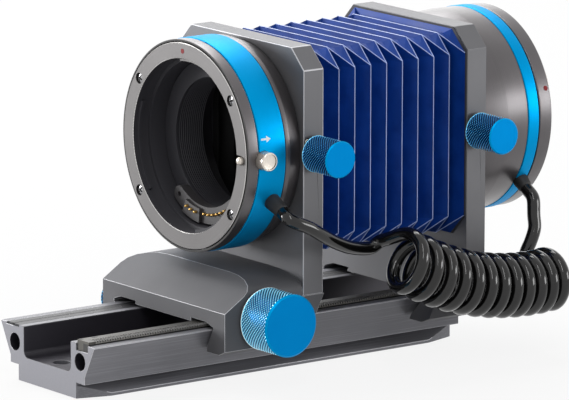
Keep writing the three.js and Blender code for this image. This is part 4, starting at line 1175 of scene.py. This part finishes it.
def domed_pin(node, steps, sides, rise=None):
    """A pin that faces -Y with a rounded end."""
    start, end, radius, axis = round_along_y(node)
    profile = [(0, end), (radius, end)]
    for step in range(steps + 1):
        angle = pi / 2 * step / steps
        profile.append((radius * cos(angle), start + (rise or radius) * (1 - sin(angle))))
    return swept(lambda angle: profile, even_angles(sides), about_y(*axis))


def make_pins():
    verts, faces = joined([domed_pin(node, 5, 20) for node in CONTACTS])
    stands_for(link_mesh("contact_pins", verts, faces, [gold], smooth_angle=50), "contact_pins", "gold", *CONTACTS)


def make_lock_pin():
    verts, faces = domed_pin("lens_lock_pin", 6, 40, 0.7)
    piece = link_mesh("locking_pin", verts, faces, [nickel], smooth_angle=50)
    stands_for(piece, "lock_pin", "nickel", "lens_lock_pin")


def in_cross(x, z):
    near, far = sorted((abs(x), abs(z)))
    return near < CROSS_HALF and far < CROSS_REACH


def head_point(u, v):
    """A point of a screw's head, from its place in a square grid."""
    reach = max(abs(u), abs(v)) / max(hypot(u, v), 1e-9)
    x, z = u * reach, v * reach
    share = (x * x + z * z) / SCREW_RADIUS**2
    return Vector((x, -SCREW_DOME * (1 - share) + (CROSS_DEPTH if in_cross(x, z) else 0), z))


def cross_head(cells=26):
    """A domed screw head that faces -Y at the origin, with a cross sunk in it, and the materials of its faces."""
    row = cells + 1
    grid = [2 * SCREW_RADIUS / cells * i - SCREW_RADIUS for i in range(row)]
    verts = [head_point(u, v) for u in grid for v in grid]
    faces = [(a, a + row, a + row + 1, a + 1) for i in range(cells) for a in range(i * row, i * row + cells)]
    centres = [sum((verts[k] for k in face), Vector()) / 4 for face in faces]
    # The sunk cross takes the near-black painted shade.
    return verts, faces, [1 if in_cross(centre.x, centre.z) else 0 for centre in centres]


def make_ring_screws():
    verts, faces, indices = cross_head()
    for i, node in enumerate(RING_SCREWS, 1):
        *_, (x, z) = round_along_y(node)
        turn = Matrix.Rotation(radians(15 + 50 * i), 4, "Y")
        place = Matrix.Translation((x, MOUNT_FACE + SCREW_SUNK, z)) @ turn
        piece = link_mesh(f"cross_screw_{i}", [place @ v for v in verts], faces, [screw_metal, painted_shade], indices)
        stands_for(piece, "lens_adapter", "dark_steel", node)


def make_button():
    start, end, radius, axis = round_along_x("release_button")
    face = end + BUTTON_BEYOND
    rim, floor = radius - BUTTON_RIM, face - BUTTON_SUNK
    groove = rim - 0.07
    profile = [(0, start), (radius, start), (radius, face - 0.3), (radius - 0.25, face)]
    profile += [(rim, face), (groove, floor), (0, floor)]

    # Painted shade in the groove inside the rim.
    def paint(reach, along):
        return 1 if groove < reach < rim and along < face - 0.05 else 0

    piece = lathe("release_key", profile, about_x(*axis), [nickel, painted_shade], 72, 0.03, paint)
    stands_for(piece, "release", "nickel", "release_button")


def make_set_screw():
    """The small socket screw sunk in the front standard's side, above its clamp knob."""
    side = front_plate_high.x
    floor, rim = side + 0.03, side + 0.16
    profile = [(0, floor), (0.45, floor), (0.45, rim), (0.7, rim), (0.85, floor), (1.2, floor)]
    profile += [(1.2, side - 0.4), (0, side - 0.4)]

    # Painted shade on the socket in the middle and on the ring round the head; the head is nickel.
    def paint(radius, along):
        return 1 if 0.44 < radius < 0.86 and along > side + 0.02 else 0

    place = about_x(station(SET_SCREW_AT[0]), SET_SCREW_AT[1])
    piece = lathe("standard_set_screw", profile, place, [painted_shade, nickel], 48, 0.02, paint)
    stands_for(piece, "front_unit", "dark_steel")


make_shell()
make_front_band()
make_adapter_back()
make_mount_ring()
make_baffle()
make_pins()
make_ring_screws()
make_lock_pin()
make_button()
make_set_screw()


# Camera adapter
BARREL_RADIUS = SHELL_RADIUS - 0.6
BARREL_TAPER = 9.3
BARREL_STEP = 0.7
BARREL_WALL = 5.7
FLANGE_BORE = SHELL_RADIUS - 6.3
BAYONET_BORE = FLANGE_BORE - 4.2
BAYONET_TUBE = FLANGE_BORE - 2
BAYONET_LUG = FLANGE_BORE - 0.3
BAYONET_ENDS = (70, 190, 310)
BAYONET_SPAN = 50


def make_barrel():
    low, high = box_mm("camera_adapter_barrel")
    spigot = rear_plate_high.x - SPIGOT_IN
    plate, shell = rear_plate_high.y, BARREL_RADIUS
    near, far, band = plate + 0.3, plate + BARREL_TAPER, rear_band_low.y - SEAM
    profile = [
        *((spigot - SPIGOT_WALL, low.y), (spigot, low.y), (spigot, near), (shell - 0.6, near)),
        *((shell, far), (shell, band), (shell - BARREL_STEP, band), (shell - BARREL_STEP, high.y)),
        *((shell - BARREL_WALL, high.y), (shell - BARREL_WALL, far), (spigot - SPIGOT_WALL, near)),
    ]

    # Painted shade on the step at the band's front edge and on the faces under and behind the band; the bore is
    # matt black.
    def paint(radius, along):
        if radius < shell - 4:
            return 2
        return 1 if radius < shell - 0.2 and along > plate + 5 else 0

    piece = lathe("barrel", profile, OPTICAL, [black, painted_shade, matt_black], round_to=0.08, paint=paint)
    stands_for(piece, "camera_adapter", "black_anodised", "camera_adapter_barrel")


def make_rear_band():
    start, end = rear_band_low.y, rear_band_high.y - SEAM
    piece = make_band("barrel_band", BARREL_RADIUS - 0.6, rear_band_high.x, start, end)
    stands_for(piece, "camera_adapter", "blue_anodised", "rear_band")


def make_flange():
    bore, lip, outer = FLANGE_BORE, bayonet_high.x + 0.1, flange_high.x
    start, face, seat = flange_low.y, flange_high.y, flange_high.y - 2
    profile = [(bore, start), (outer - 0.2, start), (outer, start + 0.2), (outer, face - 0.5)]
    profile += [(outer - 0.5, face), (lip, face), (lip, seat), (bore, seat)]
    stands_for(lathe("flange", profile, OPTICAL, [black]), "camera_adapter", "black_anodised", "camera_flange")


def make_bayonet():
    bore, tube, rim = BAYONET_BORE, BAYONET_TUBE, bayonet_high.x
    start, face, end = bayonet_low.y, flange_high.y, bayonet_high.y

    def profile_at(angle):
        outer = BAYONET_LUG if in_lug(angle, BAYONET_ENDS, BAYONET_SPAN) else tube
        return [
            *((bore, start), (rim, start), (rim, face - 0.1), (rim - 0.1, face), (tube, face)),
            *((tube, end - 1.4), (outer, end - 1.4), (outer, end - 0.15), (outer - 0.15, end)),
            *((bore + 0.1, end), (bore, end - 0.1)),
        ]

    verts, faces = swept(profile_at, lug_angles(BAYONET_ENDS, BAYONET_SPAN), OPTICAL)
    piece = link_mesh("rear_bayonet", verts, faces, [nickel])
    stands_for(piece, "camera_adapter", "nickel", "camera_bayonet")


def make_relief(node, angle, at, outer, radius, length, body):
    """A sleeve that tapers from its band down to the cord."""
    thin, tip = CORD_DIAMETER / 2 + 0.02, length + 0.6
    outline = rounded([(0, -0.9), (radius, -0.9), (radius, 0.4), (thin, tip), (0, tip)], 0.8, 5)
    verts, faces = swept(lambda a: outline, even_angles(48), about_y(0, 0))
    turn = Vector((0, 1, 0)).rotation_difference(exit_heading(angle)).to_matrix()
    verts = [turn @ Vector(v) + exit_point(angle, at, outer) for v in verts]
    piece = link_mesh(f"{node}_sleeve", verts, faces, [relief_rubber], smooth_angle=50)
    stands_for(piece, body, "cord_plastic", node)


make_barrel()
make_rear_band()
make_flange()
make_bayonet()
make_relief("front_strain_relief", FRONT_EXIT_ANGLE, FRONT_EXIT_AT, BAND_RADIUS, 2.7, 5.5, "lens_adapter")
make_relief("rear_strain_relief", REAR_EXIT_ANGLE, REAR_EXIT_AT, rear_band_high.x, 2.55, 3, "camera_adapter")


# Knobs
DRIVE_KNURL = (52, 0.42)
SMALL_KNURL = (34, 0.5)
KNURL_SHARPNESS = 1.1
KNURL_STEPS = 8
KNURL_FADE = 0.25
FACE_BEYOND = 0.5
# Knurl tones from groove through slope to point: painted shade in the grooves, painted highlight on the points.
DRIVE_SHADE_TO_HIGHLIGHT = ((0, 74, 128), (112, 216, 248), (240, 252, 255))
SMALL_SHADE_TO_HIGHLIGHT = ((0, 20, 50), (0, 96, 164), (140, 222, 252))


def knob_profile(radius, start, end, chamfer, neck, rows):
    """Outline of a knob from its inner face to its outer one, with even rows along its grip."""
    inner, outer = start + neck, end - chamfer
    grip = [(radius, inner + (outer - inner) * i / rows) for i in range(rows + 1)]
    return [(0, start), (radius - neck * 0.8, start), *grip, (radius - chamfer, end), (0, end)]


def knurl_cut(around, along, pitch):
    """How far down, from 0 to 1, the crossed grooves of a knurl are at a place."""
    ways = (around + along, around - along)
    return max(abs(2 * (way / pitch % 1) - 1) for way in ways) ** KNURL_SHARPNESS


def make_knob(name, node, body, knurl, neck, chamfer, shade_to_highlight, side=1, beyond=0):
    """A knurled knob whose outer face may stand a little beyond its CAD node's."""
    low, high, radius, axis = round_along_x(node)
    start, end = (low, high) if side > 0 else (-high, -low)
    end += beyond
    count, depth = knurl
    pitch = 2 * pi * radius / count
    rows = round((end - start - neck - chamfer) / pitch * KNURL_STEPS)
    base = knob_profile(radius, start, end, chamfer, neck, rows)

    def profile_at(angle):
        points = []
        for r, along in base:
            edge = min(along - start - neck, end - chamfer - along)
            fade = min(1, max(0, edge / KNURL_FADE)) if abs(r - radius) < 1e-6 else 0
            points.append((r - depth * knurl_cut(angle * radius, along, pitch) * fade, along * side))
        return points

    segments = count * KNURL_STEPS
    verts, faces = swept(profile_at, even_angles(segments), about_x(*axis))
    row = [1] + [0] * (rows + 1) + [2, 1, 1]
    grip = knurl_finish(f"{name}_metal", *axis, radius, depth, *shade_to_highlight)
    piece = link_mesh(name, verts, faces, [grip, face_blue, blue], row * segments, smooth_angle=24)
    stands_for(piece, body, "blue_anodised", node)


make_knob("drive_grip", "drive_knob", "drive", DRIVE_KNURL, 0.6, 0.55, DRIVE_SHADE_TO_HIGHLIGHT)
for kind, side, beyond in (("clamp", 1, FACE_BEYOND), ("lock", -1, 0)):
    for end in ("front", "rear"):
        name = f"{end}_{kind}"
        make_knob(f"{name}_grip", f"{name}_knob", name, SMALL_KNURL, 1.3, 0.35, SMALL_SHADE_TO_HIGHLIGHT, side, beyond)


# Marks: the two red index dots and the arrow
DOT_RADIUS = 0.8
LENS_DOT = (29.9, 91.7)
CAMERA_DOT = (171.9, 17.7)
ARROW_ANGLE = 11.1
ARROW_LONG = (57.6, 59.6, 61.2)
ARROW_WIDE = (0.3, 1.05)


def decal(name, outline, body, material, slot, thickness):
    """A thin flat mark whose outline is given in space, with its outward direction for each point."""
    verts = [p + n * thickness for p, n in outline] + [p - n * thickness for p, n in outline]
    count = len(outline)
    faces = [tuple(range(count)), tuple(range(count, 2 * count))]
    faces += [(k, (k + 1) % count, (k + 1) % count + count, k + count) for k in range(count)]
    stands_for(link_mesh(name, verts, faces, [material]), body, slot)


def barrel_outline(radius, middle_angle, points):
    """An outline laid on the barrel, from each point's way along it and across it."""
    outline = []
    for y, across in points:
        angle = radians(middle_angle) + across / radius
        outline.append((Vector(OPTICAL(radius, y, angle)), Vector((cos(angle), 0, sin(angle)))))
    return outline


def make_marks():
    circle = [(DOT_RADIUS * cos(a), DOT_RADIUS * sin(a)) for a in even_angles(28)]
    reach, angle = LENS_DOT
    centre = Vector(OPTICAL(reach, MOUNT_FACE, radians(angle)))
    dot = [(centre + Vector((x, 0, z)), Vector((0, -1, 0))) for x, z in circle]
    decal("lens_index_dot", dot, "lens_adapter", red_paint, "blue_anodised", 0.08)
    at, angle = CAMERA_DOT
    dot = barrel_outline(flange_high.x, angle, [(station(at) + x, z) for x, z in circle])
    decal("camera_index_dot", dot, "camera_adapter", red_paint, "blue_anodised", 0.08)
    tail, neck, tip = map(station, ARROW_LONG)
    half, wide = ARROW_WIDE
    arrow = [(tail, -half), (neck, -half), (neck, -wide), (tip, 0), (neck, wide), (neck, half), (tail, half)]
    arrow = barrel_outline(BAND_RADIUS, ARROW_ANGLE, arrow)
    decal("turn_arrow", arrow, "lens_adapter", white_paint, "blue_anodised", 0.05)


make_marks()


# Rack and scale on the rail
BOX_SIDES = 6
RACK_LEDGE = 0.52
RACK_END = 2.6
RACK_SLOTS = ((0.5, 2), (5.2, 7.4))
TOOTH_PITCH = 0.3 * pi
TOOTH_DEPTH = 0.57
SCALE_LINE = (2.7, 3.7)
SCALE_FIRST = 11
SCALE_STEP = 10
SCALE_ROOM = 5
TICK_HALF = (0.6, 0.14)
rack_low, rack_high = box_mm("rack")
scale_low, scale_high = box_mm("scale_strip")


def rack_teeth(x, y, root, tip):
    """A run of teeth across the rail, as a closed strip, with painted shade on the flanks and roots and a painted
    highlight on the flat tips and the row's sides.
    """
    outline = [(y[0], root - 0.4)]
    for i in range(int((y[1] - y[0]) / TOOTH_PITCH)):
        for share, height in ((0, root), (0.3, tip), (0.55, tip), (0.85, root)):
            outline.append((y[0] + TOOTH_PITCH * (i + share), height))
    outline += [(y[1], root), (y[1], root - 0.4)]
    count = len(outline)
    verts = [Vector((side, a, b)) for side in x for a, b in outline]
    faces, indices = [], []
    for k in range(count):
        m = (k + 1) % count
        faces.append((k, m, m + count, k + count))
        indices.append(2 if outline[k][1] == outline[m][1] == tip else 1)
    return verts, faces + [tuple(range(count)), tuple(range(count, 2 * count))], indices + [2, 2]


def make_rack():
    """The rack: a flat ledge beside a row of fine teeth, with a plain block at each end."""
    low, high = rack_low, rack_high
    split, tip = low.x + (high.x - low.x) * RACK_LEDGE, high.z
    root = tip - TOOTH_DEPTH
    starts, ends = (low.y, low.y + RACK_END), (high.y - RACK_END, high.y)
    ledge = box_faces((low.x, split), (low.y, high.y), (low.z, tip))
    base = box_faces((split, high.x), (low.y, high.y), (low.z, root - 0.2))
    blocks = [box_faces((split, high.x), y, (root - 0.2, tip)) for y in (starts, ends)]
    *teeth, tooth_indices = rack_teeth((split, high.x), (starts[1], ends[0]), root, tip)
    verts, faces = joined([ledge, base, *blocks, teeth])
    # The block under the teeth takes painted shade.
    indices = [0] * BOX_SIDES + [1] * BOX_SIDES + [0] * 2 * BOX_SIDES + tooth_indices
    bar = link_mesh("rack_bar", verts, faces, [rack_metal, painted_shade, tooth_highlight], indices, merge=1e-5)
    stands_for(bar, "rail", "dark_steel", "rack")
    # The slots are near-black painted shade.
    across, depth = (low.x + 0.5, low.x + 1.2), (tip - 0.1, tip + 0.03)
    slots = joined([box_faces(across, (station(a), station(b)), depth) for a, b in RACK_SLOTS])
    stands_for(link_mesh("rack_slots", *slots, [painted_shade]), "rail", "dark_steel")


def make_scale():
    """The near-black line of painted shade along the scale strip, and its marks, one each ten millimetres."""
    top, start, end = scale_high.z, scale_low.y, scale_high.y
    # Painted shade along the strip's joint.
    line = box_faces([scale_low.x + x for x in SCALE_LINE], (start, end), (top - 0.3, top + 0.02))
    stands_for(link_mesh("scale_joint", *line, [painted_shade]), "rail", "matt_black")
    x = middle(scale_low, scale_high, 0)
    long, wide = TICK_HALF
    marks = []
    y = station(SCALE_FIRST)
    while y < end - SCALE_ROOM:
        marks.append(box_faces((x - long, x + long), (y - wide, y + wide), (top - 0.1, top + 0.02)))
        y += SCALE_STEP
    stands_for(link_mesh("scale_marks", *joined(marks), [edge_highlight_and_mark]), "rail", "pale_anodised")


make_rack()
make_scale()


# Floor, lights and background
FLOOR_SIZE = 30
FLOOR_GAP = 0.0002
FLOOR_GREY = (0.6, 0.6, 0.6, 1)
FLOOR_GLOW = 0.88
WORLD_LIGHT = 0.4
WHITE = (1, 1, 1, 1)
OBJECT_MIDDLE = (0, 0, 0.05)
LIGHTS = (
    ("top_softbox", (-0.62, 0.15, 0.95), OBJECT_MIDDLE, (1.0, 0.8), 14),
    ("front_softbox", (-1.0, -0.8, 0.22), OBJECT_MIDDLE, (0.6, 0.4), 13),
    ("side_softbox", (0.5, 0.5, 0.16), (0, 0.05, 0.02), (0.3, 0.2), 1.4),
    ("back_softbox", (-1.0, 0.75, 0.4), OBJECT_MIDDLE, (1.2, 0.7), 2),
    ("strip_light", (0.62, -0.3, 0.85), (0.05, 0.02, 0.03), (0.06, 0.8), 2.2),
)


def make_floor():
    bpy.ops.mesh.primitive_plane_add(size=FLOOR_SIZE, location=(0, 0, rail_low.z * MM - FLOOR_GAP))
    floor = bpy.context.object
    floor.name = "floor"
    material = bpy.data.materials.new("pale_floor")
    nodes = Nodes(material)
    nodes.tree.nodes.clear()
    output = nodes.node("ShaderNodeOutputMaterial")
    mixer = nodes.node("ShaderNodeMixShader")
    diffuse = nodes.node("ShaderNodeBsdfDiffuse")
    glow = nodes.node("ShaderNodeEmission")
    nodes.feed(diffuse.inputs["Color"], FLOOR_GREY)
    nodes.feed(glow.inputs["Color"], WHITE)
    nodes.feed(mixer.inputs["Fac"], nodes.math("MULTIPLY", nodes.seen(), FLOOR_GLOW))
    nodes.feed(mixer.inputs[1], diffuse.outputs[0])
    nodes.feed(mixer.inputs[2], glow.outputs[0])
    nodes.feed(output.inputs["Surface"], mixer.outputs[0])
    floor.data.materials.append(material)


def make_world():
    world = bpy.data.worlds.new("studio")
    bpy.context.scene.world = world
    nodes = Nodes(world)
    background = nodes.tree.nodes["Background"].inputs
    nodes.feed(background["Color"], WHITE)
    nodes.feed(background["Strength"], nodes.spread(nodes.seen(), WORLD_LIGHT, 1.0, 0, 1))


def make_light(name, location, target, size, power):
    data = bpy.data.lights.new(name, "AREA")
    data.shape = "RECTANGLE"
    data.size, data.size_y = size
    data.energy = power
    light = add_object(name, data)
    light.location = location
    light.rotation_euler = (Vector(target) - Vector(location)).to_track_quat("-Z", "Y").to_euler()


make_floor()
make_world()
for light in LIGHTS:
    make_light(*light)

bpy.context.scene.view_settings.view_transform = "Standard"
